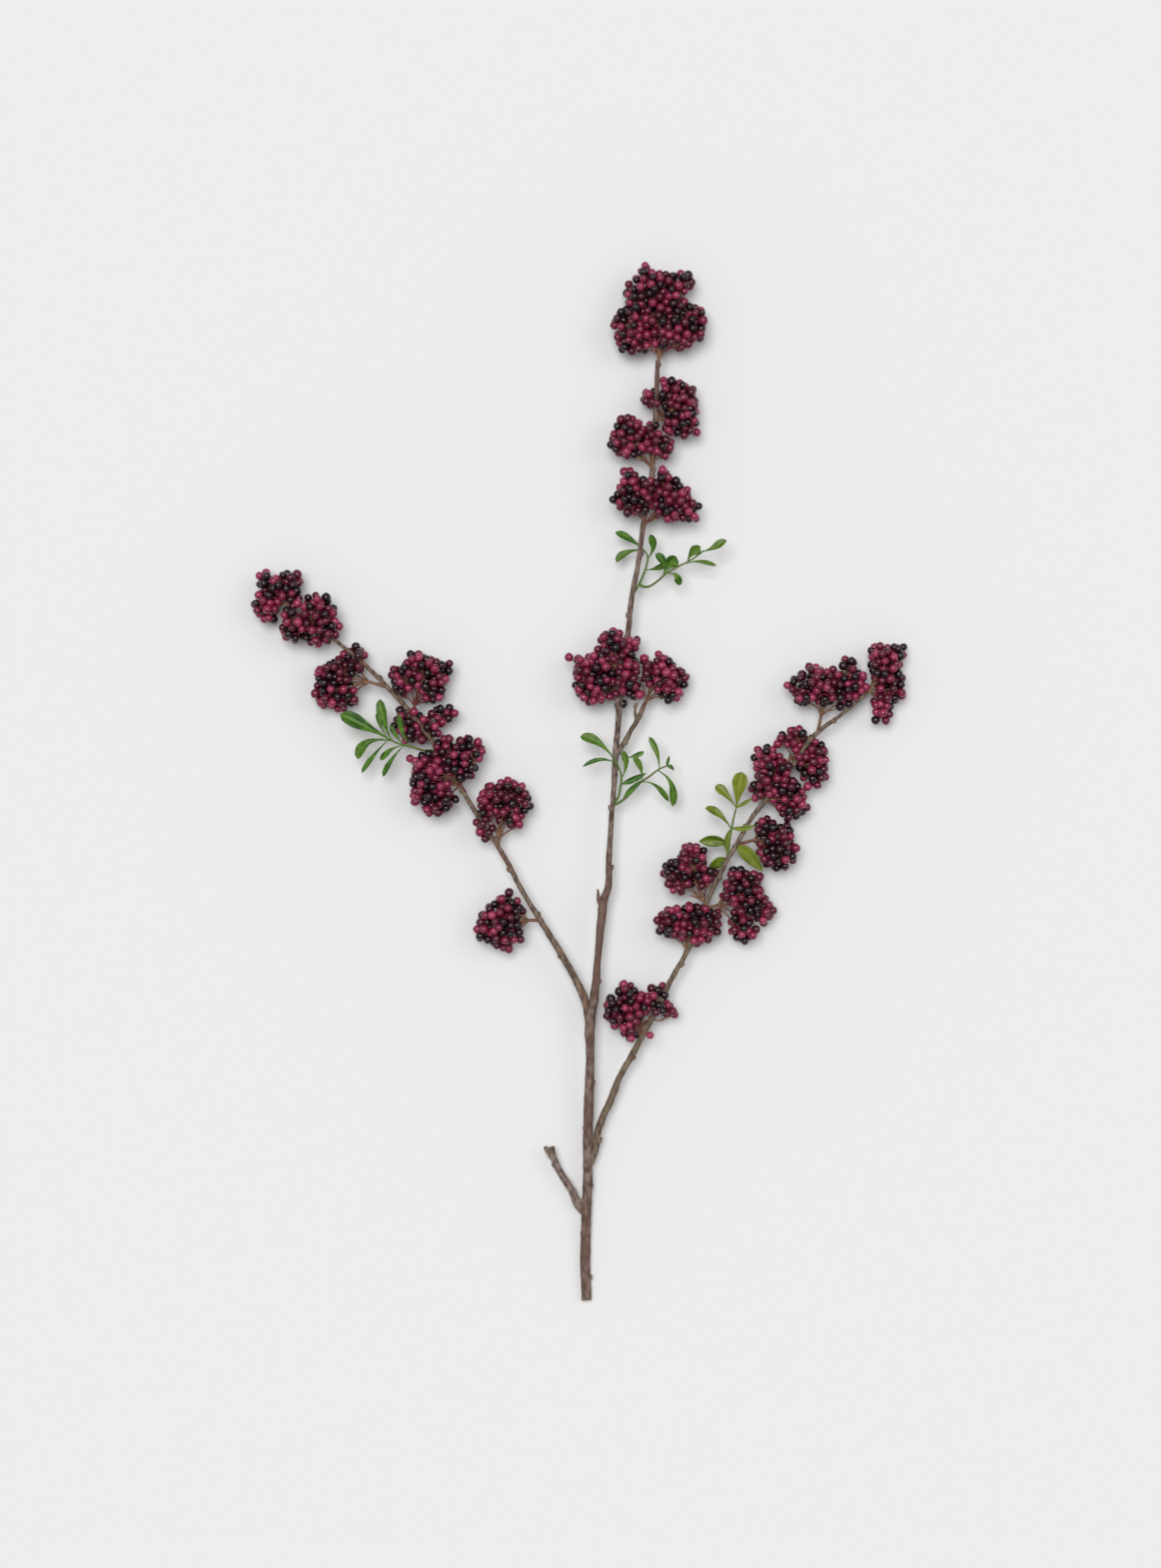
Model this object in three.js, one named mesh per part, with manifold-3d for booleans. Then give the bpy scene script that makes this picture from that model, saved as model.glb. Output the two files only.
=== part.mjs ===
// A sprig of dark berries, cut and laid down: a woody main stem with two branches, a twig and a
// cut stub, leafy green shoots, and clusters of berries on thin forked stalks.
// Millimetres, +Z up, +Y towards the tip. Every place is measured from the centre of the cut
// end of the main stem, and the finished sprig is then centred over the middle of its own box.

import * as THREE from 'three';
import { mergeVertices } from 'three/addons/utils/BufferGeometryUtils.js';
import Module from 'manifold-3d';

const wasm = await Module();
wasm.setup();

// ---------------------------------------------------------------- driving dimensions

const GAP = 0.3;               // clearance between two pieces that touch
const FINEST = 0.03;           // slivers left by a cut that are thinner than this are closed up
const CUT_END_HEIGHT = 4.1;    // axis of the main stem at its cut end, its own radius off the floor
const CARRIED_HEIGHT = 20;     // axis of the wood where the clusters hold it off the floor
const RISE_LENGTH = 250;       // length over which the main stem climbs to that height
const WOOD_SIDES = 7;
const WOOD_STEP = 19;          // length of one straight stretch of a wood tube
const STALK_SIDES = 4;
const STALK_STEP = 12;          // length of one straight stretch of a thin stalk
const FAN_STALKS = 3;          // stalks that leave the fork of a cluster
const FAN_REACH = 0.6;         // how much of the way to its knot such a stalk goes
const PEDUNCLE_RADIUS = 1.3;   // the stalk of a whole cluster, from the wood to its fork
const STALK_RADIUS = 0.75;     // the stalks from the fork into the berries
const FORK_RADIUS = 1.9;
const SHOOT_STALK_RADIUS = 1.0;
const LEAF_THICKNESS = 0.8;
const CLUSTER_HEIGHT = 19;     // middle of a cluster's depth, over the floor
const KNOT_DEPTH = 1.1;        // half-depth of a knot at the rim of its cluster, in knot radii
const KNOT_SWELL = 1.0;        // what a knot in the middle of its cluster adds to that
const LUMP_GRID = 8.8;         // size of the facets that wrap a cluster's knots
const GRID_STEP = 0.1;         // made finer by this where the skin of a lump would touch itself
const LUMP_DETAIL = 0.8;       // facets that bend less than this are merged
const LUMP_SWELL = 1.2;        // how far the berries at the rim stand out of their knots
const LUMP_CLEARANCE = 1.2;    // between two clusters that touch

const WOOD_FINISH = { color: 0x6d5648, roughness: 0.85, metalness: 0 };
const SHOOT_WOOD_FINISH = { color: 0x735443, roughness: 0.85, metalness: 0 };
const BERRY_FINISH = { color: 0x4e1226, roughness: 0.35, metalness: 0 };
const STALK_FINISH = { color: 0x7a5a45, roughness: 0.8, metalness: 0 };
const LEAF_FINISH = { color: 0x3f7421, roughness: 0.55, metalness: 0 };

// ---------------------------------------------------------------- the wood
// Each point is [x, y, radius]. The height comes from woodHeight, plus any lift.

const MAIN_STEM = [
  [0, 0, 4.1], [-1, 35, 4.0], [0, 71, 4.0], [1, 99, 3.8], [1, 123, 3.9], [2, 163, 4.0],
  [3, 195, 3.3], [3, 227, 4.3], [6, 243, 3.6], [9, 275, 2.7], [12, 307, 3.5], [14, 323, 3.5],
  [17, 331, 2.9], [18, 355, 2.4], [20, 387, 2.1], [22, 411, 2.1], [23, 435, 2.5], [25, 459, 2.3],
  [26, 471, 2.5], [26, 483, 3.4], [28, 515, 2.4], [33, 535, 2.2], [36, 563, 2.2], [42, 595, 2.0],
  [46, 627, 2.0], [50, 647, 2.0], [53, 671, 2.0], [55, 699, 2.0], [56, 723, 1.9], [57, 754, 1.8],
];
const LEFT_BRANCH = [
  [2, 227, 3.4], [-1, 241, 3.3], [-7, 255, 3.0], [-18, 275, 2.8], [-37, 306, 2.3], [-50, 327, 2.0],
  [-66, 357, 2.0], [-88, 391, 1.9], [-112, 431, 1.8], [-128, 455, 1.8], [-138, 469, 1.9],
  [-158, 491, 1.8], [-178, 511, 1.7], [-202, 531, 1.4], [-220, 546, 1.3], [-235, 555, 1.2],
];
const RIGHT_BRANCH = [
  [3, 111, 3.2], [7, 123, 3.1], [10, 139, 2.9], [20, 163, 2.9], [28, 183, 2.6], [35, 195, 2.5],
  [45, 214, 2.4], [58, 238, 2.3], [66, 255, 2.2], [80, 280, 2.0], [95, 317, 1.9], [111, 351, 1.8],
  [122, 370, 1.9], [133, 389, 1.8], [140, 398, 2.0], [166, 431, 2.0], [177, 448, 2.0],
  [187, 458, 1.9], [207, 473, 1.5], [224, 488, 1.4],
];
const CUT_SHOOT = [
  [-2, 71, 3.3], [-7, 77, 3.2], [-12, 89, 3.0], [-21, 103, 2.8], [-26, 114, 2.7], [-28, 124, 2.2],
];
const CUT_SHOOT_PRONG = [[-27, 114, 1.8], [-30, 117, 1.7], [-33, 124, 1.5]];
const UPPER_TWIG = [
  [25, 439, 2.3], [28, 445, 2.2], [32, 451, 2.1], [36, 459, 2.0], [41, 467, 2.1], [46, 478, 1.8],
];
const DEAD_SPUR = [[40, 467, 1.3], [39, 472, 1.2], [40, 480, 1.1]];

function woodHeight(y) {
  return CUT_END_HEIGHT + (CARRIED_HEIGHT - CUT_END_HEIGHT) * THREE.MathUtils.smoothstep(y, 0, RISE_LENGTH);
}

// ---------------------------------------------------------------- the clusters
// foot: where the cluster's stalk leaves the wood. fork: where it divides. under: the wood
// passes over the cluster, so no berry stands above it. height: middle of the cluster.
// Each knot of berries is [x, y, radius].

const CLUSTERS = [
  { name: 'crown_cluster', foot: [57, 752], fork: [58, 757], height: 20, knots: [
    [48, 829, 5], [44, 823, 6], [51, 820, 7], [58, 820, 6], [43, 814, 7], [37, 814, 5.5],
    [31, 811, 4.5], [38, 807, 5], [43, 804, 5], [51, 811, 7], [59, 811, 6], [54, 805, 5.5],
    [66, 822, 4.5], [75, 821, 6.5], [82, 821, 5.5], [68, 814, 5.5], [75, 814, 6.5], [81, 815, 5.5],
    [66, 807, 5.5], [72, 807, 5.5], [36, 796, 6], [30, 795, 4.5], [44, 792, 4.5], [36, 790, 6],
    [28, 789, 5], [48, 786, 5.5], [40, 785, 6.5], [24, 783, 5.5], [31, 781, 6], [42, 779, 6.5],
    [34, 776, 6], [27, 772, 5.5], [40, 771, 6], [25, 767, 4.5], [32, 766, 5.5], [38, 763, 5],
    [45, 763, 4.5], [51, 797, 5], [59, 800, 5], [58, 793, 5.5], [57, 785, 7], [64, 785, 6.5],
    [71, 785, 6.5], [57, 777, 5.5], [65, 777, 6.5], [58, 769, 6.5], [66, 769, 5.5], [59, 764, 4.5],
    [74, 776, 6.5], [78, 785, 6], [82, 775, 6.5], [74, 768, 5.5], [81, 768, 5.5], [78, 764, 4.5],
    [87, 782, 6.5], [90, 774, 6], [87, 789, 6.5], [93, 787, 4.5], [86, 794, 4.5], [93, 794, 4],
    [72, 797, 6.5], [79, 797, 5], [66, 795, 5]] },
  { name: 'stem_cluster_1', foot: [56, 706], fork: [59, 708], under: true, knots: [
    [63, 737, 5], [69, 738, 4.5], [74, 735, 5], [62, 730, 5.5], [70, 730, 6.5], [77, 730, 5.5],
    [85, 729, 5.5], [81, 723, 6.5], [87, 722, 4], [73, 722, 6], [65, 722, 6.5], [79, 715, 6.5],
    [86, 716, 5], [70, 714, 6], [83, 708, 6], [75, 706, 6.5], [69, 705, 5], [63, 702, 4.5],
    [68, 699, 5], [76, 699, 5.5], [84, 700, 6], [79, 696, 4.5], [86, 696, 5], [90, 698, 4],
    [57, 725, 5.5], [49, 729, 5], [47, 724, 4.5], [51, 722, 5], [52, 719, 4.5]] },
  { name: 'stem_cluster_2', foot: [54, 661], fork: [52, 669], height: 22, knots: [
    [28, 706, 5.5], [36, 707, 5.5], [26, 700, 5.5], [34, 701, 6], [23, 693, 5.5], [29, 693, 6],
    [36, 694, 6], [41, 695, 4], [22, 687, 5.5], [29, 686, 6.5], [36, 687, 6], [41, 689, 4.5],
    [26, 681, 5], [38, 683, 5.5], [34, 679, 5.5], [45, 684, 4.5], [50, 701, 5], [57, 701, 4.5],
    [49, 693, 5.5], [57, 694, 6], [62, 696, 5], [51, 687, 5.5], [58, 688, 6], [64, 689, 5.5],
    [69, 685, 4.5], [59, 683, 5.5], [63, 679, 5]] },
  { name: 'stem_cluster_3', foot: [44, 613], fork: [47, 624], height: 22, knots: [
    [33, 664, 5], [39, 659, 5], [33, 656, 5.5], [45, 657, 5.5], [48, 652, 6.5], [55, 655, 6],
    [33, 649, 6], [27, 649, 5], [23, 642, 5.5], [29, 642, 5.5], [39, 648, 6], [30, 637, 5],
    [36, 640, 6], [46, 645, 5.5], [52, 647, 6], [33, 632, 4.5], [43, 635, 5], [60, 664, 5.5],
    [65, 660, 4.5], [65, 653, 6], [60, 648, 6], [72, 655, 5.5], [78, 651, 5], [67, 645, 6],
    [75, 646, 6], [57, 640, 6], [64, 636, 6], [73, 638, 6.5], [80, 641, 4.5], [82, 635, 6],
    [88, 637, 4.5], [63, 629, 5], [69, 630, 5.5], [75, 631, 5], [81, 629, 5.5], [87, 629, 5],
    [57, 632, 5]] },
  { name: 'stem_cluster_4', foot: [26, 477], fork: [22, 487], height: 22, knots: [
    [10, 531, 4], [15, 532, 4], [19, 535, 5.5], [26, 534, 5], [16, 528, 4.5], [24, 528, 6],
    [32, 529, 5], [19, 524, 4.5], [26, 522, 5], [33, 524, 5], [38, 531, 4], [40, 526, 4.5],
    [22, 518, 5], [-12, 516, 4.5], [-8, 512, 4.5], [-3, 514, 5], [6, 515, 6], [13, 515, 6],
    [-6, 506, 5.5], [1, 508, 6], [9, 508, 6.5], [17, 509, 6.5], [21, 513, 5], [-5, 497, 6],
    [2, 500, 6.5], [9, 498, 6.5], [16, 500, 6.5], [23, 505, 5.5], [-5, 490, 6], [3, 491, 6.5],
    [11, 491, 6.5], [18, 493, 6], [23, 498, 6], [1, 484, 5.5], [7, 483, 5.5], [17, 486, 5],
    [23, 488, 5], [34, 517, 5.5], [33, 510, 5.5], [39, 507, 5], [32, 502, 5.5], [29, 495, 6],
    [37, 495, 6], [31, 489, 5.5], [36, 488, 5], [42, 486, 5]] },
  { name: 'twig_cluster', foot: [46, 478], fork: [48, 482], knots: [
    [45, 516, 5], [42, 509, 5.5], [46, 506, 6], [52, 508, 5.5], [43, 500, 5.5], [52, 496, 5],
    [59, 517, 5], [61, 512, 6.5], [66, 513, 4.5], [60, 505, 6.5], [68, 506, 6], [73, 504, 5],
    [64, 499, 6.5], [72, 497, 6.5], [78, 502, 5], [80, 497, 4], [58, 494, 5.5], [65, 491, 6],
    [72, 489, 6], [64, 485, 5.5], [69, 485, 5]] },
  { name: 'left_cluster_1', foot: [-235, 554], fork: [-238, 560], height: 17, knots: [
    [-256, 587, 4], [-257, 580, 5], [-262, 581, 3.5], [-250, 577, 5], [-256, 573, 5.5], [-262, 570, 4],
    [-251, 569, 5], [-261, 564, 5.5], [-255, 565, 5.5], [-266, 558, 4.5], [-259, 559, 5.5],
    [-253, 560, 6], [-247, 561, 4.5], [-263, 552, 4.5], [-257, 553, 6], [-251, 551, 6], [-256, 547, 5],
    [-243, 580, 5], [-237, 582, 5.5], [-232, 583, 5], [-236, 577, 6], [-242, 574, 5], [-231, 577, 4.5],
    [-243, 570, 4.5], [-234, 571, 5.5], [-239, 566, 5.5], [-233, 565, 5], [-232, 560, 4.5]] },
  { name: 'left_cluster_2', foot: [-210, 538], fork: [-223, 546], height: 21, knots: [
    [-225, 563, 4.5], [-218, 560, 5.5], [-215, 567, 4.5], [-209, 566, 4.5], [-212, 561, 5.5],
    [-206, 561, 4], [-228, 557, 5], [-219, 554, 6], [-225, 551, 5], [-210, 552, 6], [-204, 553, 5],
    [-215, 546, 5.5], [-220, 542, 4.5], [-209, 543, 6], [-201, 541, 5], [-197, 542, 4], [-200, 537, 4],
    [-215, 537, 5.5], [-221, 533, 5], [-213, 531, 6], [-207, 535, 6], [-217, 528, 4.5],
    [-210, 529, 4.5], [-226, 535, 4.5], [-238, 556, 5], [-232, 552, 5.5], [-238, 548, 6.5],
    [-244, 546, 4.5], [-232, 544, 5.5], [-244, 539, 4.5], [-239, 540, 5.5], [-232, 538, 5.5],
    [-238, 534, 5], [-234, 532, 4.5]] },
  { name: 'left_cluster_3', foot: [-160, 493], fork: [-174, 497], under: true, height: 17, knots: [
    [-195, 517, 5], [-200, 512, 6], [-190, 512, 5.5], [-208, 507, 6], [-202, 505, 6], [-195, 506, 6],
    [-189, 504, 5], [-183, 508, 5], [-215, 504, 4.5], [-211, 500, 5.5], [-202, 498, 5], [-196, 499, 5],
    [-216, 487, 5], [-209, 487, 5.5], [-202, 490, 5.5], [-195, 491, 6], [-187, 490, 4.5],
    [-191, 485, 5], [-198, 484, 6], [-210, 481, 5.5], [-204, 480, 6], [-193, 480, 5], [-187, 481, 4.5],
    [-197, 475, 4.5], [-184, 514, 5], [-182, 520, 5], [-185, 526, 4.5], [-179, 523, 4.5]] },
  { name: 'left_cluster_4', foot: [-138, 470], fork: [-138, 478], knots: [
    [-139, 518, 5], [-132, 518, 4.5], [-140, 512, 5], [-132, 511, 6], [-126, 513, 5.5], [-119, 509, 6],
    [-112, 512, 4], [-112, 506, 5], [-146, 507, 5.5], [-152, 507, 5], [-156, 502, 4], [-139, 504, 6],
    [-150, 500, 6], [-143, 499, 5.5], [-134, 499, 5.5], [-126, 505, 5], [-122, 501, 6],
    [-114, 502, 4.5], [-117, 496, 5.5], [-152, 494, 5.5], [-144, 492, 5.5], [-150, 488, 5],
    [-123, 493, 6], [-115, 493, 4.5], [-126, 488, 5.5], [-119, 486, 5.5], [-127, 481, 4.5]] },
  { name: 'left_cluster_5', foot: [-127, 453], fork: [-125, 458], under: true, height: 17, knots: [
    [-120, 477, 4.5], [-112, 477, 4.5], [-106, 474, 4.5], [-114, 473, 4.5], [-119, 470, 4.5],
    [-111, 468, 4.5], [-118, 465, 5], [-124, 462, 4.5], [-121, 457, 5], [-149, 474, 4.5],
    [-145, 471, 5.5], [-151, 466, 5.5], [-144, 465, 6], [-150, 460, 5], [-143, 458, 6], [-144, 452, 5],
    [-137, 454, 5.5], [-137, 463, 6], [-133, 468, 4.5], [-131, 459, 5.5], [-132, 451, 5],
    [-127, 460, 4.5]] },
  { name: 'left_cluster_6', foot: [-97, 408], fork: [-101, 414], height: 22, knots: [
    [-118, 450, 5], [-111, 450, 6], [-105, 447, 5], [-118, 443, 5.5], [-106, 441, 6], [-98, 442, 5.5],
    [-94, 450, 5.5], [-93, 445, 5.5], [-86, 448, 5.5], [-85, 441, 5], [-90, 437, 6], [-98, 434, 6.5],
    [-107, 435, 6], [-114, 434, 6], [-121, 434, 6], [-91, 430, 5.5], [-97, 427, 5.5], [-117, 427, 6],
    [-109, 426, 5.5], [-102, 422, 5.5], [-94, 421, 3.5], [-139, 435, 5], [-132, 435, 6],
    [-126, 430, 6], [-133, 427, 6], [-128, 422, 6], [-122, 420, 6], [-137, 421, 4.5], [-139, 416, 4.5],
    [-133, 416, 5.5], [-130, 410, 6], [-136, 409, 5], [-120, 411, 5.5], [-133, 404, 5.5],
    [-126, 404, 6], [-138, 403, 4.5], [-128, 397, 6], [-120, 398, 6], [-114, 404, 5.5],
    [-115, 394, 4.5], [-122, 392, 4.5], [-107, 403, 5.5], [-110, 411, 5]] },
  { name: 'left_cluster_7', foot: [-71, 364], fork: [-70, 372], under: true, knots: [
    [-67, 418, 4], [-79, 414, 3.5], [-60, 415, 5], [-72, 410, 4.5], [-81, 408, 5.5], [-64, 409, 6],
    [-54, 411, 5.5], [-49, 406, 5], [-83, 402, 5.5], [-74, 402, 5.5], [-67, 404, 6], [-59, 405, 6],
    [-51, 399, 5.5], [-47, 395, 4], [-66, 398, 5.5], [-77, 396, 5.5], [-84, 397, 4.5], [-58, 397, 5.5],
    [-53, 392, 5], [-69, 390, 5.5], [-78, 389, 5], [-65, 384, 4.5], [-58, 383, 5.5], [-54, 384, 4.5],
    [-85, 389, 5], [-90, 383, 4.5], [-86, 378, 5], [-81, 374, 5.5]] },
  { name: 'left_cluster_8', foot: [-37, 306], fork: [-46, 306], height: 18, knots: [
    [-65, 328, 4.5], [-60, 327, 4.5], [-55, 325, 4], [-72, 320, 5.5], [-63, 318, 5.5], [-57, 318, 5],
    [-77, 313, 5], [-82, 308, 4.5], [-68, 312, 6], [-61, 311, 5.5], [-54, 312, 4.5], [-73, 306, 5.5],
    [-66, 305, 6.5], [-59, 306, 5], [-59, 299, 5.5], [-66, 298, 5.5], [-73, 297, 6], [-80, 302, 5],
    [-86, 299, 5], [-83, 294, 5.5], [-75, 289, 5.5], [-67, 290, 5.5], [-60, 293, 5.5], [-66, 284, 4.5],
    [-62, 282, 4], [-53, 293, 4], [-51, 289, 4]] },
  { name: 'right_cluster_1', foot: [223, 487], fork: [226, 490], height: 17, knots: [
    [229, 523, 5], [235, 523, 5.5], [247, 523, 4.5], [254, 524, 4.5], [252, 517, 4.5], [245, 516, 5.5],
    [238, 519, 5.5], [231, 514, 5.5], [236, 511, 5.5], [245, 510, 6], [231, 506, 5.5], [242, 503, 6.5],
    [249, 505, 5.5], [249, 499, 4.5], [234, 498, 6], [240, 490, 5.5], [247, 494, 5.5], [252, 492, 5.5],
    [246, 488, 5.5], [253, 487, 4.5], [237, 484, 5.5], [243, 482, 4.5], [230, 480, 4.5], [234, 475, 5],
    [239, 478, 4.5], [232, 467, 4.5], [238, 469, 5], [242, 467, 4.5]] },
  { name: 'right_cluster_2', foot: [185, 455], fork: [188, 470], knots: [
    [165, 495, 6], [169, 488, 5], [175, 493, 6.5], [171, 482, 5.5], [178, 485, 6], [177, 505, 5.5],
    [182, 509, 4.5], [184, 497, 8], [194, 504, 5], [194, 493, 8], [201, 499, 5.5], [191, 483, 6],
    [202, 487, 7], [205, 478, 5], [205, 512, 4.5], [212, 514, 5], [212, 505, 5.5], [212, 495, 7],
    [213, 484, 6], [220, 491, 6], [222, 501, 5.5]] },
  { name: 'right_cluster_3', foot: [160, 424], fork: [163, 436], under: true, height: 17, knots: [
    [154, 450, 6], [162, 455, 5.5], [171, 455, 7], [168, 447, 6], [173, 441, 6.5], [184, 446, 5.5],
    [190, 443, 4.5], [179, 436, 6.5], [187, 437, 6], [170, 430, 5], [188, 428, 6.5], [180, 424, 6],
    [190, 421, 4.5], [183, 416, 6], [177, 414, 4.5]] },
  { name: 'right_cluster_4', foot: [139, 397], fork: [142, 402], height: 20, knots: [
    [138, 440, 6], [147, 440, 6.5], [154, 435, 6], [139, 431, 5.5], [147, 429, 7], [158, 428, 7],
    [140, 420, 6.5], [148, 418, 6.5], [157, 419, 6.5], [135, 413, 5], [137, 406, 5], [144, 410, 5.5],
    [152, 411, 6], [166, 413, 6], [172, 412, 5], [161, 404, 6.5], [169, 404, 6.5], [152, 402, 5],
    [158, 397, 5.5], [167, 395, 6.5], [159, 390, 5], [175, 395, 5]] },
  { name: 'right_cluster_5', foot: [122, 367], fork: [133, 370], knots: [
    [144, 386, 5], [138, 381, 5.5], [145, 379, 5.5], [140, 372, 6], [147, 367, 5.5], [151, 378, 5],
    [158, 375, 6.5], [163, 380, 5], [154, 369, 5.5], [141, 361, 5], [144, 354, 5], [149, 350, 5],
    [151, 359, 6.5], [159, 362, 6], [166, 364, 5], [163, 356, 6], [157, 351, 6]] },
  { name: 'right_cluster_6', foot: [96, 317], fork: [94, 321], knots: [
    [84, 366, 5], [90, 361, 6.5], [80, 360, 5.5], [86, 354, 6.5], [76, 354, 5], [83, 348, 5.5],
    [92, 350, 5.5], [66, 349, 6], [71, 344, 5.5], [64, 341, 5.5], [70, 334, 6], [73, 329, 4.5],
    [80, 336, 5.5], [83, 342, 5.5], [91, 343, 6], [93, 336, 6], [100, 343, 5.5]] },
  { name: 'right_cluster_7', foot: [95, 315], fork: [105, 318], height: 17, knots: [
    [118, 345, 5.5], [125, 345, 5], [119, 338, 6.5], [127, 337, 6.5], [136, 339, 6], [113, 333, 5.5],
    [121, 331, 6.5], [130, 330, 6.5], [138, 329, 5.5], [113, 325, 5.5], [121, 323, 6], [128, 324, 6],
    [135, 320, 6], [143, 317, 6], [144, 310, 6], [138, 311, 5.5], [151, 314, 5], [123, 315, 5],
    [119, 309, 5], [126, 306, 5.5], [119, 299, 6], [127, 298, 6.5], [121, 293, 4.5], [134, 297, 5],
    [138, 299, 4.5], [128, 291, 5.5]] },
  { name: 'right_cluster_8', foot: [78, 277], fork: [80, 283], height: 19, knots: [
    [57, 309, 4.5], [63, 310, 5], [70, 314, 5], [77, 312, 6], [85, 315, 6], [92, 313, 6.5],
    [102, 313, 5.5], [59, 302, 5], [59, 296, 4.5], [67, 304, 6], [68, 297, 5.5], [76, 300, 7],
    [86, 305, 7], [94, 305, 7], [103, 305, 6], [86, 296, 6.5], [95, 296, 7], [103, 297, 5],
    [79, 294, 4.5], [88, 289, 5], [95, 290, 5.5], [74, 291, 4]] },
  { name: 'right_cluster_9', foot: [44, 212], fork: [42, 217], under: true, height: 17, knots: [
    [33, 253, 5], [27, 249, 5.5], [38, 249, 5], [20, 241, 6.5], [32, 244, 6], [42, 243, 5.5],
    [40, 237, 5.5], [24, 236, 6.5], [18, 232, 5.5], [32, 234, 7], [46, 235, 6], [22, 225, 6],
    [29, 227, 6], [37, 227, 6.5], [27, 219, 5], [33, 214, 5], [39, 211, 5], [51, 236, 5.5],
    [56, 237, 5], [53, 243, 5], [55, 250, 5.5], [60, 251, 5], [62, 235, 5], [67, 236, 4.5],
    [67, 231, 4.5], [71, 230, 4.5]] },
];

// ---------------------------------------------------------------- the leafy shoots
// Stalk points are [x, y, height over the wood's own height]. A leaf runs from its foot, by a
// middle point, to its tip, each [x, y, height]; width is its widest, near its tip unless
// lens is true, which puts it in the middle.

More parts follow.
